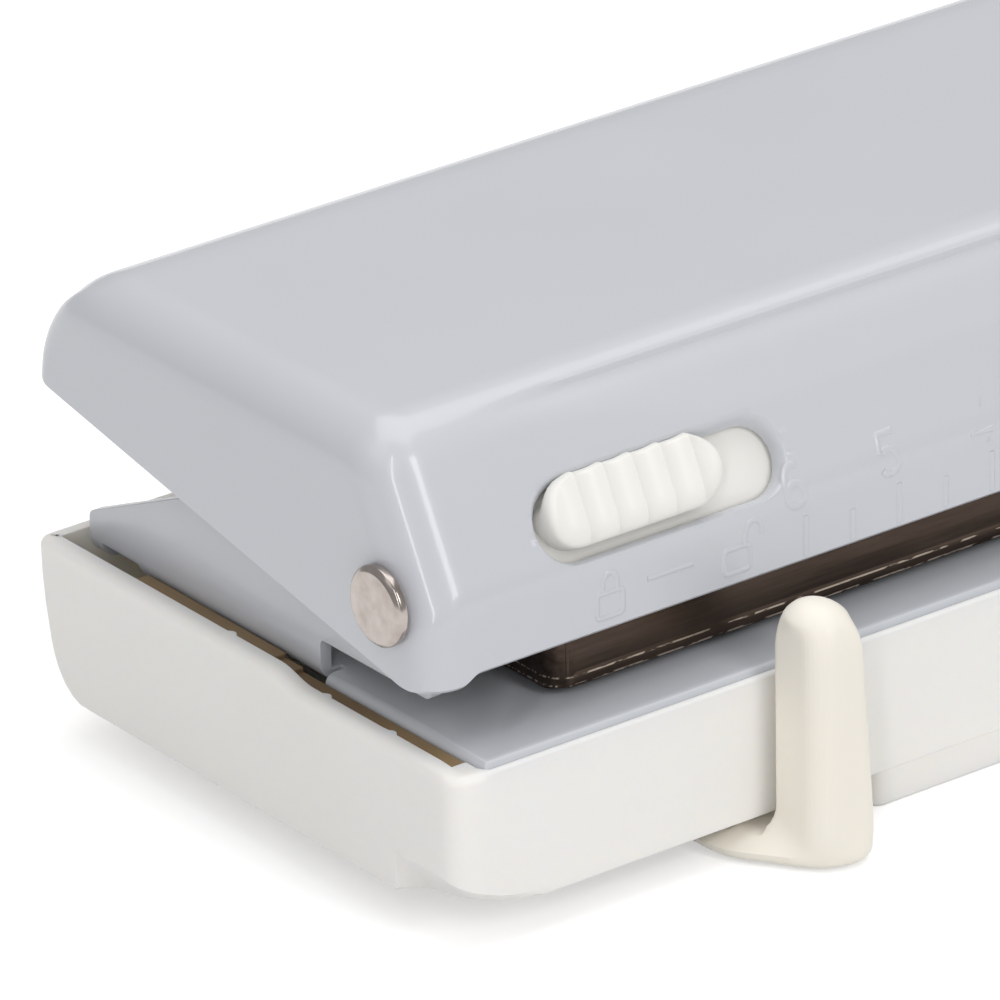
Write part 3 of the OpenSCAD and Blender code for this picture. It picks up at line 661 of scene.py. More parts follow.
# %% Slot and bores
LOCK_X = -73.85
LOCK_UP = 3.85
LOCK_Z = BEND_Z + LOCK_UP
LOCK_Y = FRONT_Y + LOCK_UP * tan(LEAN)
SLOT_LENGTH = 25.2
PIVOT_Y, PIVOT_Z, PIVOT_BORE = 9.4, 29.1, 3.32


def on_lean(across, up, out):
    y = LOCK_Y + up * sin(LEAN) - out * cos(LEAN)
    z = LOCK_Z + up * cos(LEAN) + out * sin(LEAN)
    return LOCK_X + across, y, z


def long_hole(length, height, count=20, straight=1):
    radius = height / 2
    reach = length / 2 - radius
    outline = []
    for side in (1, -1):
        for step in range(count + 1):
            angle = radians(-90 + 180 * step / count)
            outline.append((side * (reach + radius * cos(angle)), side * radius * sin(angle)))
        for step in range(1, straight):
            outline.append((side * (reach - 2 * reach * step / straight), side * radius))
    return outline


def full_turn(count):
    angles = [2 * pi * k / count for k in range(count)]
    return [(cos(angle), sin(angle)) for angle in angles]


def turned(outline, side, count):
    ring = full_turn(count)
    loops = []
    for radius, along in outline:
        loops.append([(side * along, PIVOT_Y + radius * c, PIVOT_Z + radius * s) for c, s in ring])
    return stacked(loops)


# each step: distance out of the face, extra length, upper edge, lower edge
RIM_STEPS = [(1.5, 2.4, 4.2, -5.0), (0.3, 1.5, 3.85, -4.55), (0.0, 1.15, 3.65, -4.38),
             (-0.1, 0.85, 3.45, -4.22), (-0.3, 0.5, 3.2, -4.05), (-0.6, 0.2, 2.9, -3.9),
             (-0.9, 0.0, 2.65, -3.8), (-1.3, 0.0, 2.5, -3.8), (-4.5, 0.0, 2.45, -3.8)]
slot_loops = []
for out, grow, upper, lower in RIM_STEPS:
    outline = long_hole(SLOT_LENGTH + grow, upper - lower)
    slot_loops.append([on_lean(a, u + (upper + lower) / 2, out) for a, u in outline])
cut_away(handle_shell, *stacked(slot_loops))
bore = [(PIVOT_BORE / 2, 96.0), (PIVOT_BORE / 2, 102.0)]
for side in (-1, 1):
    cut_away(handle_shell, *turned(bore, side, 40))
smooth_piece(handle_shell, 30.0)
even_shading(handle_shell)
print("handle shell after cutting:", len(handle_shell.data.polygons), "faces")

# %% [markdown]
# The ruler and the lock signs stand a hair proud of the front face in the handle's own colour. Each stroke
# is a fine bead laid on the face, so its edges catch the light as moulded signs do. The ruler counts from
# the middle.

# %% Beads on the front face
BEAD_SIDES = 8
front_line = side_points(0.0, 50.0, 0.0)


def face_at(line, z):
    for (ay, az), (by, bz) in zip(line, line[1:]):
        if az <= z <= bz:
            length = hypot(by - ay, bz - az)
            return ay + (by - ay) * (z - az) / (bz - az), (-(bz - az) / length, (by - ay) / length)
    raise ValueError("no face at this height")


def bead_points(stroke, radius, proud):
    loops = []
    for index, (x, z) in enumerate(stroke):
        before = stroke[max(index - 1, 0)]
        after = stroke[min(index + 1, len(stroke) - 1)]
        run = Vector((after[0] - before[0], after[1] - before[1])).normalized()
        y, (out_y, out_z) = face_at(front_line, z)
        loop = []
        for c, s in full_turn(BEAD_SIDES):
            across, out = radius * c, proud * s
            loop.append((x - run.y * across, y + run.x * across * out_z + out_y * out,
                         z + run.x * across * -out_y + out_z * out))
        loops.append(loop)
    return loops


def sign_mesh(strokes, radius, proud):
    points, faces = [], []
    for stroke in strokes:
        more, more_faces = stacked(bead_points(stroke, radius, proud))
        faces.extend(tuple(k + len(points) for k in face) for face in more_faces)
        points.extend(more)
    return points, faces


print("front face at 26 mm:", round(face_at(front_line, 26.0)[0], 2), "mm behind the tray's front")

# %% [markdown]
# The ruler has a tick every five millimetres and a plain number every centimetre. A font would bring its
# own outlines and need its file at every run. So the numbers are drawn from straight strokes and arcs, all
# with one width of line.

# %% Ruler
def arc(cx, cz, rx, rz, start, end, count=14):
    return [(cx + rx * cos(radians(start + (end - start) * k / count)),
             cz + rz * sin(radians(start + (end - start) * k / count))) for k in range(count + 1)]


DIGITS = {
    "0": [arc(0, 0, 0.95, 1.7, 90, 450, 28)],
    "1": [[(-0.6, 1.1), (0.1, 1.7), (0.1, -1.7)]],
    "2": [arc(0, 0.75, 0.95, 0.95, 165, -35) + [(-0.95, -1.7), (1.0, -1.7)]],
    "3": [arc(0, 0.8, 0.9, 0.9, 150, -80) + arc(0, -0.75, 1.0, 0.95, 80, -150)],
    "4": [[(1.1, -0.75), (-1.05, -0.75), (0.5, 1.7), (0.5, -1.7)]],
    "5": [[(0.9, 1.7), (-0.7, 1.7), (-0.85, 0.25)] + arc(0, -0.6, 1.0, 1.1, 125, -145)],
    "6": [arc(0.15, 0.1, 1.1, 1.6, 65, 190) + arc(0, -0.7, 0.97, 1.0, 180, 540, 28)],
}
TICK_PITCH = 5.0
TICK_LOW, TICK_SHORT, TICK_TALL = 23.45, 26.2, 27.05
DIGIT_LEFT, DIGIT_Z = 0.9, 29.85
ruler_strokes = []
for half_centimetre in range(-12, 13):
    tick_x = half_centimetre * TICK_PITCH
    tick_top = TICK_TALL if half_centimetre % 2 == 0 else TICK_SHORT
    ruler_strokes.append([(tick_x, TICK_LOW + (tick_top - TICK_LOW) * k / 6) for k in range(7)])
    if half_centimetre % 2 == 0:
        digit_x = tick_x - DIGIT_LEFT
        for stroke in DIGITS[str(abs(half_centimetre) // 2)]:
            ruler_strokes.append([(digit_x + x, DIGIT_Z + z) for x, z in stroke])
make_piece("ruler_signs", *sign_mesh(ruler_strokes, 0.32, 0.1), "handle", "handle_grey")

# %% [markdown]
# Under the slot a closed padlock, a dash and an open padlock show the two ends of the lock's travel. They
# are beads like the ruler's, only finer: a body with round corners and a bow that is shut or swung open.

# %% Lock signs
SIGN_Z = 26.0
CLOSED_X, DASH_X, OPEN_X = 19.4 - HALF_LENGTH, 23.3 - HALF_LENGTH, 32.7 - HALF_LENGTH


def padlock(x, z, bow):
    body = []
    for right, up, start in ((-1.0, -1.55, 180), (1.0, -1.55, 270), (1.0, -0.05, 0), (-1.0, -0.05, 90)):
        body += arc(x + right, z + up, 0.35, 0.35, start, start + 90, 4)
    return [body + [body[0]], [(x + bx, z + bz) for bx, bz in bow]]


closed_bow = [(-0.75, 0.3), (-0.75, 1.1)] + arc(0, 1.1, 0.75, 0.95, 180, 0, 10) + [(0.75, 0.3)]
open_bow = [(0.75, 0.3), (0.85, 1.1)] + arc(1.75, 1.35, 0.85, 0.95, 180, 0, 10) + [(2.6, 0.9)]
lock_strokes = padlock(CLOSED_X, SIGN_Z, closed_bow) + padlock(OPEN_X, SIGN_Z, open_bow)
lock_strokes.append([(DASH_X + 0.6 * k, SIGN_Z + 0.25) for k in range(9)])
make_piece("lock_signs", *sign_mesh(lock_strokes, 0.26, 0.09), "handle", "handle_grey")

# %% [markdown]
# The lock's button is moulded in one piece with the plate behind the wall. Hollow flutes across it give the
# thumb a grip. It is made as a stack of long-hole loops that climb the side, round over and close on the
# top, and the flutes are pressed into the upper loops, so they also notch the rounded edges as on a
# moulding.

# %% Lock button
BUTTON_LENGTH, BUTTON_HEIGHT = 18.1, 6.15
BUTTON_SHIFT, BUTTON_LIFT, BUTTON_TUCK = -2.7, 0.22, 0.55
BUTTON_ROUND, BUTTON_OUT = 1.1, 0.95
FLUTE_PITCH, FLUTE_DEPTH = 3.0, 0.55
FLUTED_HALF = 7.4


def quarter_turn(count):
    angles = [radians(90 * k / count) for k in range(count + 1)]
    return [(cos(angle), sin(angle)) for angle in angles]


def flute(across):
    share = (across / FLUTE_PITCH) % 1.0
    return FLUTE_DEPTH * (2 * share - 1) ** 2


def button_loop(inset, out, press, tuck=1.0):
    outline = long_hole(BUTTON_LENGTH - 2 * inset, BUTTON_HEIGHT - 2 * inset, 16, 60)
    lift = BUTTON_LIFT + 0.65 * min(inset, BUTTON_ROUND)
    loop = []
    for a, u in outline:
        ridge = 0.6 * press * flute(a) if u > 0 and abs(a) < FLUTED_HALF else 0.0
        u *= tuck if u > 0 else 1.0
        up = u + lift + ridge * u / BUTTON_HEIGHT * 2
        loop.append(on_lean(a + BUTTON_SHIFT, up, out + press * flute(a)))
    return loop


button_loops = [button_loop(0.0, out, 0.0, BUTTON_TUCK) for out in (-2.6, -1.0)]
for c, s in quarter_turn(10):
    button_loops.append(button_loop(BUTTON_ROUND * (1 - c), BUTTON_OUT - BUTTON_ROUND * (1 - s), s ** 0.5))
for inset in (1.6, 2.1, 2.7, BUTTON_HEIGHT / 2):
    button_loops.append(button_loop(inset, BUTTON_OUT, 1.0))
lock_button = make_piece("lock_button", *stacked(button_loops, False), "lock", "lock_white",
                         40.0, ["lock_slider"])

# %% [markdown]
# Behind the wall the plate follows the inside of the handle, and a hook at its left end goes under the
# handle's stop when the punch is locked. Small bars with soft edges serve here and again in the tray, so
# they get a helper.

# %% Plate and hook of the lock
def join_in(piece, points, faces):
    reshape(piece, points, faces, "UNION")


def soft_bar(low, high, corner, edge):
    middle_x, middle_y = (low[0] + high[0]) / 2, (low[1] + high[1]) / 2
    reach_x, reach_y = (high[0] - low[0]) / 2 - corner, (high[1] - low[1]) / 2 - corner
    loops = []
    for end, way in ((low[2], 1), (high[2], -1)):
        ring = []
        for c, s in quarter_turn(4):
            inset = edge * (1 - s)
            z = end + way * edge * (1 - c)
            loop = []
            for quarter, (sx, sy) in enumerate(((1, 1), (-1, 1), (-1, -1), (1, -1))):
                for k in range(5):
                    angle = radians(90 * quarter + 22.5 * k)
                    loop.append((middle_x + sx * reach_x + (corner - inset) * cos(angle),
                                 middle_y + sy * reach_y + (corner - inset) * sin(angle), z))
            ring.append(loop)
        loops.extend(ring if way == 1 else reversed(ring))
    return stacked(loops)


PLATE_LOW, PLATE_HIGH, PLATE_STEPS = 27.2, 36.4, 24


def wall_band(extra):
    line = side_points(-60.0, 50.0, extra)
    heights = [PLATE_LOW + (PLATE_HIGH - PLATE_LOW) * k / PLATE_STEPS for k in range(PLATE_STEPS + 1)]
    return [(face_at(line, z)[0], z) for z in heights]


plate_section = wall_band(WALL + 0.3) + wall_band(WALL + 1.5)[::-1]
plate_x = LOCK_X + BUTTON_SHIFT
plate_loops = [[(plate_x + x, y, z) for y, z in plate_section] for x in (-14.85, 0.0, 17.0)]
join_in(lock_button, *stacked(plate_loops))
hook_left = plate_x - 9.35
hook_low, hook_high = (hook_left, 6.1, PLATE_LOW), (hook_left + 5.0, 10.3, PLATE_LOW + 1.0)
join_in(lock_button, *soft_bar(hook_low, hook_high, 0.4, 0.2))
smooth_piece(lock_button, 40.0)
print("lock button with plate and hook:", len(lock_button.data.polygons), "faces")

# %% [markdown]
# The paper guide is a waxy moulding: a fin with a round top, and a thin foot that sweeps away to the left
# under the tray. It is wound as one stack of loops round its middle. Low down a loop follows the foot's
# outline, higher up it draws in to the fin, so the foot flows into the fin, and over the top the loops turn
# round and close.

# %% Outlines of the paper guide
GUIDE_LEFT = 32.2 - HALF_LENGTH
GUIDE_TOP = 23.65
GUIDE_MIDDLE = (GUIDE_LEFT + 2.75, -3.5)
FIN_WIDTH, FIN_FLARE = 5.3, 1.1
FIN_FRONT, FIN_BACK = -7.0, -1.0
FOOT_OUTLINE = [(27.5, 4.8), (27.6, 2.6), (27.9, 1.1), (28.7, -0.6), (29.8, -2.1), (31.0, -3.8), (32.2, -5.6),
                (33.9, -7.0), (36.6, -7.6), (38.6, -6.6), (39.0, -4.4), (38.8, 0.0), (38.2, 7.0), (37.6, 7.8),
                (29.2, 7.8), (27.9, 7.2)]


def eased(outline):
    for _ in range(3):
        finer = []
        for (ax, ay), (bx, by) in zip(outline, outline[1:] + outline[:1]):
            finer.append((0.75 * ax + 0.25 * bx, 0.75 * ay + 0.25 * by))
            finer.append((0.25 * ax + 0.75 * bx, 0.25 * ay + 0.75 * by))
        outline = finer
    return outline


def fin_outline(z):
    foot = smooth_step(24.0, 0.0, z)
    left, right = GUIDE_LEFT, GUIDE_LEFT + FIN_WIDTH + FIN_FLARE * foot
    front, back = FIN_FRONT - 0.2 * foot, FIN_BACK
    spots = ((right, back, -1, -1, 0.6), (left, back, 1, -1, 0.6),
             (left, front, 1, 1, 2.2), (right, front, -1, 1, 1.2))
    outline = []
    for quarter, (x, y, sx, sy, radius) in enumerate(spots):
        for k in range(9):
            angle = radians(90 * quarter + 11.25 * k)
            outline.append((x + radius * (sx + cos(angle)), y + radius * (sy + sin(angle))))
    return outline


def reach(outline, angle):
    dx, dy = cos(angle), sin(angle)
    far = 0.0
    for (ax, ay), (bx, by) in zip(outline, outline[1:] + outline[:1]):
        px, py, ex, ey = ax - GUIDE_MIDDLE[0], ay - GUIDE_MIDDLE[1], bx - ax, by - ay
        cross = dx * ey - dy * ex
        if abs(cross) > 1e-9 and 0.0 <= (px * dy - py * dx) / cross <= 1.0:
            far = max(far, (px * ey - py * ex) / cross)
    return far


GUIDE_ANGLES = [2 * pi * k / 180 for k in range(180)]
foot_reach = [reach([(x - HALF_LENGTH, y) for x, y in eased(FOOT_OUTLINE)], angle) for angle in GUIDE_ANGLES]
print("reach of the guide's foot:", round(max(foot_reach), 1), "mm")

# %% [markdown]
# Each loop blends three outlines: the foot's low down, the fin's above, and an oval towards the round top.
# Behind, the loops stop at a plane a millimetre before the tray's front wall, so the guide slides along it
# freely.

# %% Fin and foot of the paper guide
DOME, DOME_POWER = 4.3, 2.1
OVAL_X, OVAL_Y = 3.6, 3.8
FLOW_LOW, FLOW_HIGH = 1.3, 4.8
FLAT_LOW, FLAT_HIGH = 2.3, 19.0


def guide_loop(z, scale, draw_in, ease):
    outline = fin_outline(z)
    loop = []
    for angle, foot in zip(GUIDE_ANGLES, foot_reach):
        fin = reach(outline, angle)
        oval = 1 / hypot(cos(angle) / OVAL_X, sin(angle) / OVAL_Y)
        radius = (fin + (foot - fin) * draw_in) * (1 - ease) + oval * ease
        if FLAT_LOW < z < FLAT_HIGH and sin(angle) > 0.01:
            radius = min(radius, (FIN_BACK - GUIDE_MIDDLE[1]) / sin(angle))
        loop.append((GUIDE_MIDDLE[0] + radius * scale * cos(angle),
                     GUIDE_MIDDLE[1] + radius * scale * sin(angle), z))
    return loop


FOOT_LEVELS = [(0.35, 0.84), (0.5, 0.92), (0.85, 0.98), (1.3, 1.0)]
guide_loops = [guide_loop(z, scale, 1.0, 0.0) for z, scale in FOOT_LEVELS]
for z in (1.5, 1.7, 1.95, 2.2, 2.29, 2.31, 2.6, 3.0, 3.4, 3.8, 4.3, 4.8):
    guide_loops.append(guide_loop(z, 1.0, ((FLOW_HIGH - z) / (FLOW_HIGH - FLOW_LOW)) ** 2.8, 0.0))
guide_loops += [guide_loop(z, 1.0, 0.0, 0.0) for z in (7, 9, 11, 13, 15, 17, 18.5, GUIDE_TOP - DOME)]
for step in range(1, 23):
    rise = sin(radians(90 * step / 22.3))
    scale = (1 - rise ** DOME_POWER) ** (1 / DOME_POWER)
    over = guide_loop(GUIDE_TOP - DOME + DOME * rise, scale, 0.0, smooth_step(0.0, 0.3, 1 - scale))
    guide_loops.append([(x - 0.3 * (1 - scale), y + 0.3 * (1 - scale), z) for x, y, z in over])
guide_fin = make_piece("guide_fin", *stacked(guide_loops), "guide", "guide_cream", 40.0, ["paper_guide"])
join_in(guide_fin, *soft_bar((GUIDE_LEFT - 3.0, 6.3, 0.9), (GUIDE_LEFT + 5.0, 9.5, 3.1), 0.4, 0.2))
cut_away(guide_fin, *soft_bar((GUIDE_LEFT - 8.0, 2.0, 1.9), (GUIDE_LEFT + 9.0, 3.7, 6.0), 0.1, 0.05))
smooth_piece(guide_fin, 40.0)
print("guide:", len(guide_fin.data.polygons), "faces")

# %% [markdown]
# The chip tray is one soft-edged cream moulding. It is wound as loops round its plan: each place on the
# plan has its own rim height, wall and lower edge, and the loops climb the outside, turn over the rim and
# go down inside. So the low rim beside the paper, the lip before the sheet's edge and the finger hollows
# are one smooth skin.

# %% Plan of the tray
TRAY_DEPTH = 58.8
TRAY_UNDER = 3.4
FRONT_ROUND, REAR_ROUND = 2.2, 1.2
SEAT_Z = 15.58


def left_plan():
    places = [(-x, 0.0, 0.0, 1.0) for x in (0, 20, 40, 54, 58, 66, 74, 80, 85, 88, 90)]
    near_corner = (9.5, 9, 8.2, 7.4, 6.6, 5.8, 5, 4.4, 3.9, 3.55, 3.3, 3.1)
    places += [(-HALF_LENGTH + x, 0.0, 0.0, 1.0) for x in near_corner]
    for c, s in quarter_turn(8):
        places.append((-HALF_LENGTH + FRONT_ROUND * (1 - s), FRONT_ROUND * (1 - c), s, c))
    along = [2.8, 3.5, 4.2, 5, 5.8, 6.4, 6.9, 7.4, 7.8, 8.1, 8.25, 8.38, 8.42, 8.6, 9.1, 9.9, 10.1, 10.35,
             10.6, 10.85, 11.1, 12, 14, 16, 18, 18.9, 19.25, 19.5, 19.75, 20.1, 20.5, 21, 21.4, 21.8, 22.2,
             22.7, 23.2, 23.7, 24.2, 24.7, 25.2, 25.7, 26.4, 28.5, 31, 32.1, 32.45, 32.7, 32.95, 33.3, 34.5,
             36, 38, 42, 46, 50, 53, 55, 56.3]
    places += [(-HALF_LENGTH, y, 1.0, 0.0) for y in along]
    for c, s in quarter_turn(8)[1:]:
        places.append((-HALF_LENGTH + REAR_ROUND * (1 - c), TRAY_DEPTH - REAR_ROUND * (1 - s), c, -s))
    places += [(-x, TRAY_DEPTH, 0.0, -1.0) for x in (96, 90, 80, 70, 60, 45, 30, 15, 0)]
    return places


half_plan = left_plan()
tray_plan = half_plan + [(-x, y, -nx, ny) for x, y, nx, ny in reversed(half_plan[1:-1])]
print("places round the tray:", len(tray_plan))

# %% [markdown]
# Two hollows under the front corners let a finger lift the punch's sheet frame out of the tray. Each starts
# with a steep edge on the end wall, runs round the corner below a falling groove, and fades into the front
# wall.

# %% Heights round the tray
def between(table, share):
    for first, second in zip(table, table[1:]):
        if first[0] <= share <= second[0]:
            part = (share - first[0]) / (second[0] - first[0])
            return [a + (b - a) * part for a, b in zip(first[1:], second[1:])]
    return list(table[-1][1:])


HOLLOW_FOOT = [(0.0, 0.1, 8.35), (0.03, 1.0, 7.8), (0.07, 2.0, 7.1), (0.12, 2.45, 6.4), (0.3, 2.85, 4.7),
               (0.45, 3.5, 3.4), (0.6, 4.6, 2.2), (0.75, 5.9, 1.3), (0.88, 7.4, 0.45), (1.0, 9.0, 0.02)]
HOLLOW_GROOVE = [(0.0, 7.0), (0.38, 7.1), (0.48, 6.5), (0.6, 5.6), (0.72, 4.8), (0.85, 4.3), (1.0, 4.2)]
HOLLOW_ON_END, HOLLOW_ON_FRONT = 6.2, 6.8
HOLLOW_START_Y = 8.4


def hollow_share(x, y):
    from_end = HALF_LENGTH - abs(x)
    corner_run = FRONT_ROUND * pi / 2
    whole = HOLLOW_ON_END + corner_run + HOLLOW_ON_FRONT
    if y >= FRONT_ROUND:
        return (HOLLOW_START_Y - y) / whole
    if from_end >= FRONT_ROUND:
        return (HOLLOW_ON_END + corner_run + from_end - FRONT_ROUND) / whole
    turned_by = atan2(FRONT_ROUND - y, FRONT_ROUND - from_end) / (pi / 2)
    return (HOLLOW_ON_END + corner_run * turned_by) / whole


RIM_FRONT, RIM_PAPER, RIM_REAR = 16.35, 16.6, 17.4
NUBS = (10.6, 19.5, 32.7)
NUB_HEIGHT, NUB_HALF = 0.35, 0.55


def rim_height(y):
    height = RIM_FRONT + (RIM_PAPER - RIM_FRONT) * smooth_step(0.3, 4.0, y)
    return height + (RIM_REAR - RIM_PAPER) * smooth_step(21.4, 25.7, y)


def wall_top(x, y):
    at_end = 1.0 - smooth_step(2.9, 3.9, HALF_LENGTH - abs(x)) if y < 2.6 else 1.0
    nub = 0.0
    if abs(x) > HALF_LENGTH - 0.1:
        nub = sum(NUB_HEIGHT * max(0.0, 1 - ((y - spot) / NUB_HALF) ** 2) for spot in NUBS)
    return 0.5 + 1.1 * at_end + nub, 0.34 + 0.5 * at_end, 0.12


print("rim heights:", RIM_FRONT, RIM_PAPER, RIM_REAR)

# %% [markdown]
# The rear wall leans in a little, so the tray comes out of its mould, and rolls under at the floor. A table
# gives its depth at each height, and one function draws the rear of the skin in by it, with the rear of
# both ends.

# %% Rear of the tray
REAR_PROFILE = [(TRAY_UNDER, 52.6), (3.5, 53.6), (4.05, 55.0), (4.8, 55.95), (5.7, 56.65), (6.6, 57.15),
                (7.6, 57.55), (9.7, 58.0), (11.8, 58.45), (15.0, TRAY_DEPTH), (20.0, TRAY_DEPTH)]
REAR_START = 44.0


def drawn_in(point):
    x, y, z = point
    if y <= REAR_START:
        return point
    rear_y = between(REAR_PROFILE, max(z, TRAY_UNDER))[0]
    return (x, REAR_START + (y - REAR_START) * (rear_y - REAR_START) / (TRAY_DEPTH - REAR_START), z)


print("rear wall leans in by", round(TRAY_DEPTH - REAR_PROFILE[6][1], 2), "mm before it rolls under")

# %% [markdown]
# One column of points climbs the wall at one place of the plan: it rolls over the lower edge, goes up to
# the rim, turns over it and goes down inside to the floor. In a finger hollow the lower edge lies further
# in.

# %% Skin of the tray
EDGE_ROUND, HOLLOW_EDGE_ROUND = 0.25, 0.5
HOLLOW_AIM = 13.0
WALL_LEVELS = (0.05, 0.1, 0.16, 0.23, 0.31, 0.42, 0.58, 0.78, 1.0)
TRAY_WALL, TRAY_FLOOR = 1.6, 1.5


def tray_column(x, y, nx, ny):
    rim = rim_height(y)
    thick, out_round, in_round = wall_top(x, y)

    def on_wall(inset, z):
        return (x + nx * inset, y + ny * inset, z)
    share = hollow_share(x, y)
    side = 1 if x > 0 else -1
    edge = EDGE_ROUND
    if 0.0 < share < 1.0:
        fx, fy = between(HOLLOW_FOOT, share)
        foot = Vector((side * (HALF_LENGTH - fx), fy, TRAY_UNDER))
        groove = Vector(on_wall(0.0, between(HOLLOW_GROOVE, share)[0]))
        inward = Vector((side * (HALF_LENGTH - HOLLOW_AIM) - foot.x, HOLLOW_AIM - fy, 0)).normalized()
        edge = HOLLOW_EDGE_ROUND
    else:
        foot = Vector(on_wall(0.0, TRAY_UNDER))
        groove = Vector(on_wall(0.0, TRAY_UNDER + edge + 0.3))
        inward = Vector((nx, ny, 0))
    start = foot + inward * edge
    rise = foot + (groove - foot) * min(1.0, edge / (groove - foot).length) * 0.95
    column = []
    for k in range(6):
        t = k / 5
        column.append(tuple(start * (1 - t) ** 2 + foot * 2 * t * (1 - t) + rise * t * t))
    column.append(tuple(groove))
    for level in WALL_LEVELS:
        column.append(on_wall(0.0, groove.z + (rim - out_round - groove.z) * level))
    for c, s in quarter_turn(5)[1:]:
        column.append(on_wall(out_round * (1 - c), rim - out_round * (1 - s)))
    for c, s in quarter_turn(5):
        column.append(on_wall(thick - in_round * (1 - s), rim - in_round * (1 - c)))
    floor_top = TRAY_UNDER + TRAY_FLOOR
    inside = [(thick, SEAT_Z), (TRAY_WALL, SEAT_Z), (TRAY_WALL, 8.0),
              (TRAY_WALL, floor_top + 0.8), (2.8, floor_top)]
    column += [on_wall(inset, z) for inset, z in inside]
    return [drawn_in(point) for point in column]


columns = [tray_column(*place) for place in tray_plan]
tray_loops = [[column[k] for column in columns] for k in range(len(columns[0]))]
chip_tub = make_piece("chip_tub", *stacked(tray_loops), "base", "tray_cream", 28.0, ["chip_tray"])

# %% [markdown]
# A plinth under the middle carries the tray on the table and makes room for the chips. The posts at the
# rear hold up the sheet frame, and the rails under both ends guide the paper guide's foot.

# %% Plinth, posts and rails
POST_PLACES, POST_HALF = (-70.0, -25.0, 25.0, 70.0), 2.5
# each bar of a post, and each rail: front, foot, rear, top
POST_BARS = [(51.7, 4.3, 54.6, 8.0), (51.7, 6.4, 56.6, SEAT_Z)]
RAILS = [(2.2, 2.2, 3.4, 4.2), (9.8, 0.5, 11.2, 4.2), (8.2, 0.5, 10.4, 1.4)]


def side_bar(side, ends, front, foot, rear, top, corner, edge):
    left, right = sorted(side * x for x in ends)
    return soft_bar((left, front, foot), (right, rear, top), corner, edge)


join_in(chip_tub, *soft_bar((-56.0, 0.25, 0.0), (56.0, 49.8, 5.2), 1.2, 0.35))
cut_away(chip_tub, *soft_bar((-54.4, 1.85, 1.5), (54.4, 48.2, 9.0), 1.0, 0.3))
for post_x in POST_PLACES:
    for front, foot, rear, top in POST_BARS:
        low, high = (post_x - POST_HALF, front, foot), (post_x + POST_HALF, rear, top)
        join_in(chip_tub, *soft_bar(low, high, 0.5, 0.3))
for side in (-1, 1):
    join_in(chip_tub, *side_bar(side, (99.1, 96.7), 0.9, 11.0, 2.9, 16.3, 0.2, 0.1))
    for rail in RAILS:
        join_in(chip_tub, *side_bar(side, (56.0, 88.0), *rail, 0.2, 0.15))
smooth_piece(chip_tub, 28.0)
even_shading(chip_tub)
print("tray:", len(chip_tub.data.polygons), "faces")

# %% [markdown]
# Inside both ends a low ledge runs between the rim and the sheet frame. Hardly any light gets down there,
# so the ledge is coloured brown as painted shade: the brown line it shows is shade, not its own colour. It
# is set a little below the rim and follows the rim's step.

# %% Ledges inside the ends
# painted shade: a dark brown finish stands for the shade in the gap between the rim and the sheet frame
ledge_painted_shade = moulded("ledge_painted_shade", (150, 126, 92), (122, 100, 70), 0.5, 0.6, 0.05, 900.0)
# each bar: front, foot, rear, top
LEDGE_BARS = [(2.7, 13.4, 26.2, 16.15), (25.0, 13.4, 28.0, 16.55), (27.4, 13.4, 47.0, 17.0)]
for side, name in ((-1, "left"), (1, "right")):
    bars = [side_bar(side, (98.7, 96.7), *bar, 0.2, 0.1) for bar in LEDGE_BARS]
    ledge = make_piece("tray_ledge_" + name, *bars[0], "base", "tray_cream", 40.0)
    ledge.data.materials[0] = ledge_painted_shade
    for bar in bars[1:]:
        join_in(ledge, *bar)
    smooth_piece(ledge, 40.0)

# %% [markdown]
# The pivot rivets are turned and plated: a flat face, a bright rounded edge and a slight taper back to the
# wall, then the shank through wall and sheet, and the closing head inside. Each is one outline turned round
# the axis.

# %% Pivot rivets
# each point: distance from the axis, distance from the middle of the punch
RIVET_OUTLINE = [(1.9, 94.28), (2.3, 94.4), (2.5, 94.65), (2.5, 95.28), (1.6, 95.3), (1.6, 99.85),
                 (3.35, 99.85), (3.5, 99.97), (3.53, 100.15), (3.53, 100.5), (3.5, 100.62), (3.42, 100.72),
                 (3.16, 100.93), (3.06, 100.99), (2.95, 101.02), (2.0, 101.03), (1.0, 101.02)]
for side, name in ((-1, "left"), (1, "right")):
    make_piece("rivet_" + name, *turned(RIVET_OUTLINE, side, 72), "punch_frame", "nickel", 50.0,
               ["pivot_rivet_" + name])

# %% [markdown]
# Each return spring is a coil of round wire with a flat half turn at both ends.

# %% Return springs
PIN_PLACES = [-73.0, -54.0, -35.0, 35.0, 54.0, 73.0]
PIN_Y = 18.0
COIL_RADIUS, WIRE = 3.6, 0.5
COIL_LOW, COIL_HIGH = 18.85, 23.45


def coil(x):
    turns, steps, sides = 3.5, 36, 12
    loops = []
    for step in range(int(turns * steps) + 1):
        angle = 2 * pi * step / steps
        rise = smooth_step(0.3, turns - 0.3, step / steps) * 0.5
        rise += 0.5 * min(max((step / steps - 0.5) / (turns - 1.0), 0.0), 1.0)
        z = COIL_LOW + WIRE / 2 + (COIL_HIGH - COIL_LOW - WIRE) * rise
        loop = []
        for c, s in full_turn(sides):
            from_axis = COIL_RADIUS + WIRE / 2 * c
            loop.append((x + from_axis * cos(angle), PIN_Y + from_axis * sin(angle), z + WIRE / 2 * s))
        loops.append(loop)
    return stacked(loops)


for number, x in enumerate(PIN_PLACES, 1):
    spring = make_piece(f"spring_coil_{number}", *coil(x), "punch_frame", "steel", 40.0,
                        [f"return_spring_{number}"])
    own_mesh(spring)

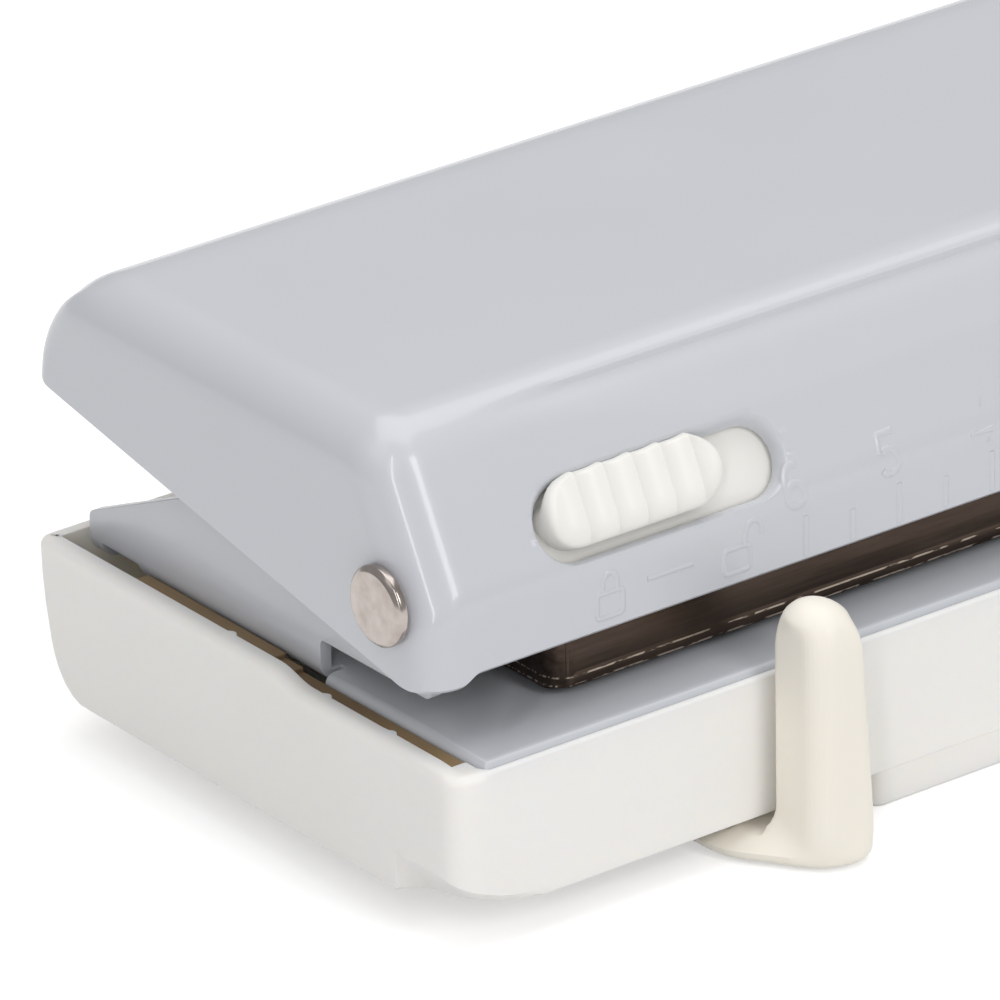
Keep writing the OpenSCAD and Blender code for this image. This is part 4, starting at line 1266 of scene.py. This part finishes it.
# %% [markdown]
# Bent sheet never has a knife edge: punching and paint leave it a little round. The frame and the punch
# channel keep the shape of their solids, and a fine rounding on every sharp edge gives them the line of
# light it needs.

# %% Rounded edges on sheet metal
def softened(node_name, name, body, slot, width):
    mesh = nodes[node_name].data.copy()
    mesh.name = name
    piece = add_object(name, mesh)
    work = bmesh.new()
    work.from_mesh(mesh)
    bmesh.ops.remove_doubles(work, verts=work.verts, dist=WELD)
    bmesh.ops.dissolve_limit(work, angle_limit=radians(1.0), verts=work.verts, edges=work.edges)
    work.to_mesh(mesh)
    work.free()
    rounding = piece.modifiers.new("edge", "BEVEL")
    rounding.width = width / 1000
    rounding.segments = 3
    rounding.limit_method = "ANGLE"
    rounding.angle_limit = radians(40)
    keep_modified(piece)
    dress(piece, body, slot, 32.0, [node_name])


softened("frame", "sheet_frame", "punch_frame", "frame_grey", 0.25)
softened("punch_block", "punch_channel", "punch_frame", "block_black", 0.3)

# %% [markdown]
# The block's lower front edge is folded tight, tighter than the bends above it. A slim strip along the
# front, with the block's own rounded ends, gives that crisp edge, and the finish's painted highlight lines
# run along it.

# %% Lower edge of the punch block
BLOCK_HALF, BLOCK_FRONT, BLOCK_LOW = 85.0, 6.0, 17.6
BLOCK_CORNER, BLOCK_FOLD = 2.2, 0.25


def edge_loop(inset, z):
    loop = []
    for side, angles in ((-1, range(180, 271, 9)), (1, range(270, 361, 9))):
        for angle in angles:
            turn = radians(angle)
            loop.append((side * (BLOCK_HALF - BLOCK_CORNER) + (BLOCK_CORNER - inset) * cos(turn),
                         BLOCK_FRONT + BLOCK_CORNER + (BLOCK_CORNER - inset) * sin(turn), z))
    return loop


edge_loops = [edge_loop(BLOCK_FOLD * (1 - s), BLOCK_LOW + BLOCK_FOLD * (1 - c)) for c, s in quarter_turn(5)]
edge_loops += [edge_loop(0.0, 18.4), edge_loop(0.0, 19.0), edge_loop(0.06, 19.15)]
make_piece("block_edge", *stacked(edge_loops), "punch_frame", "block_black", 40.0)
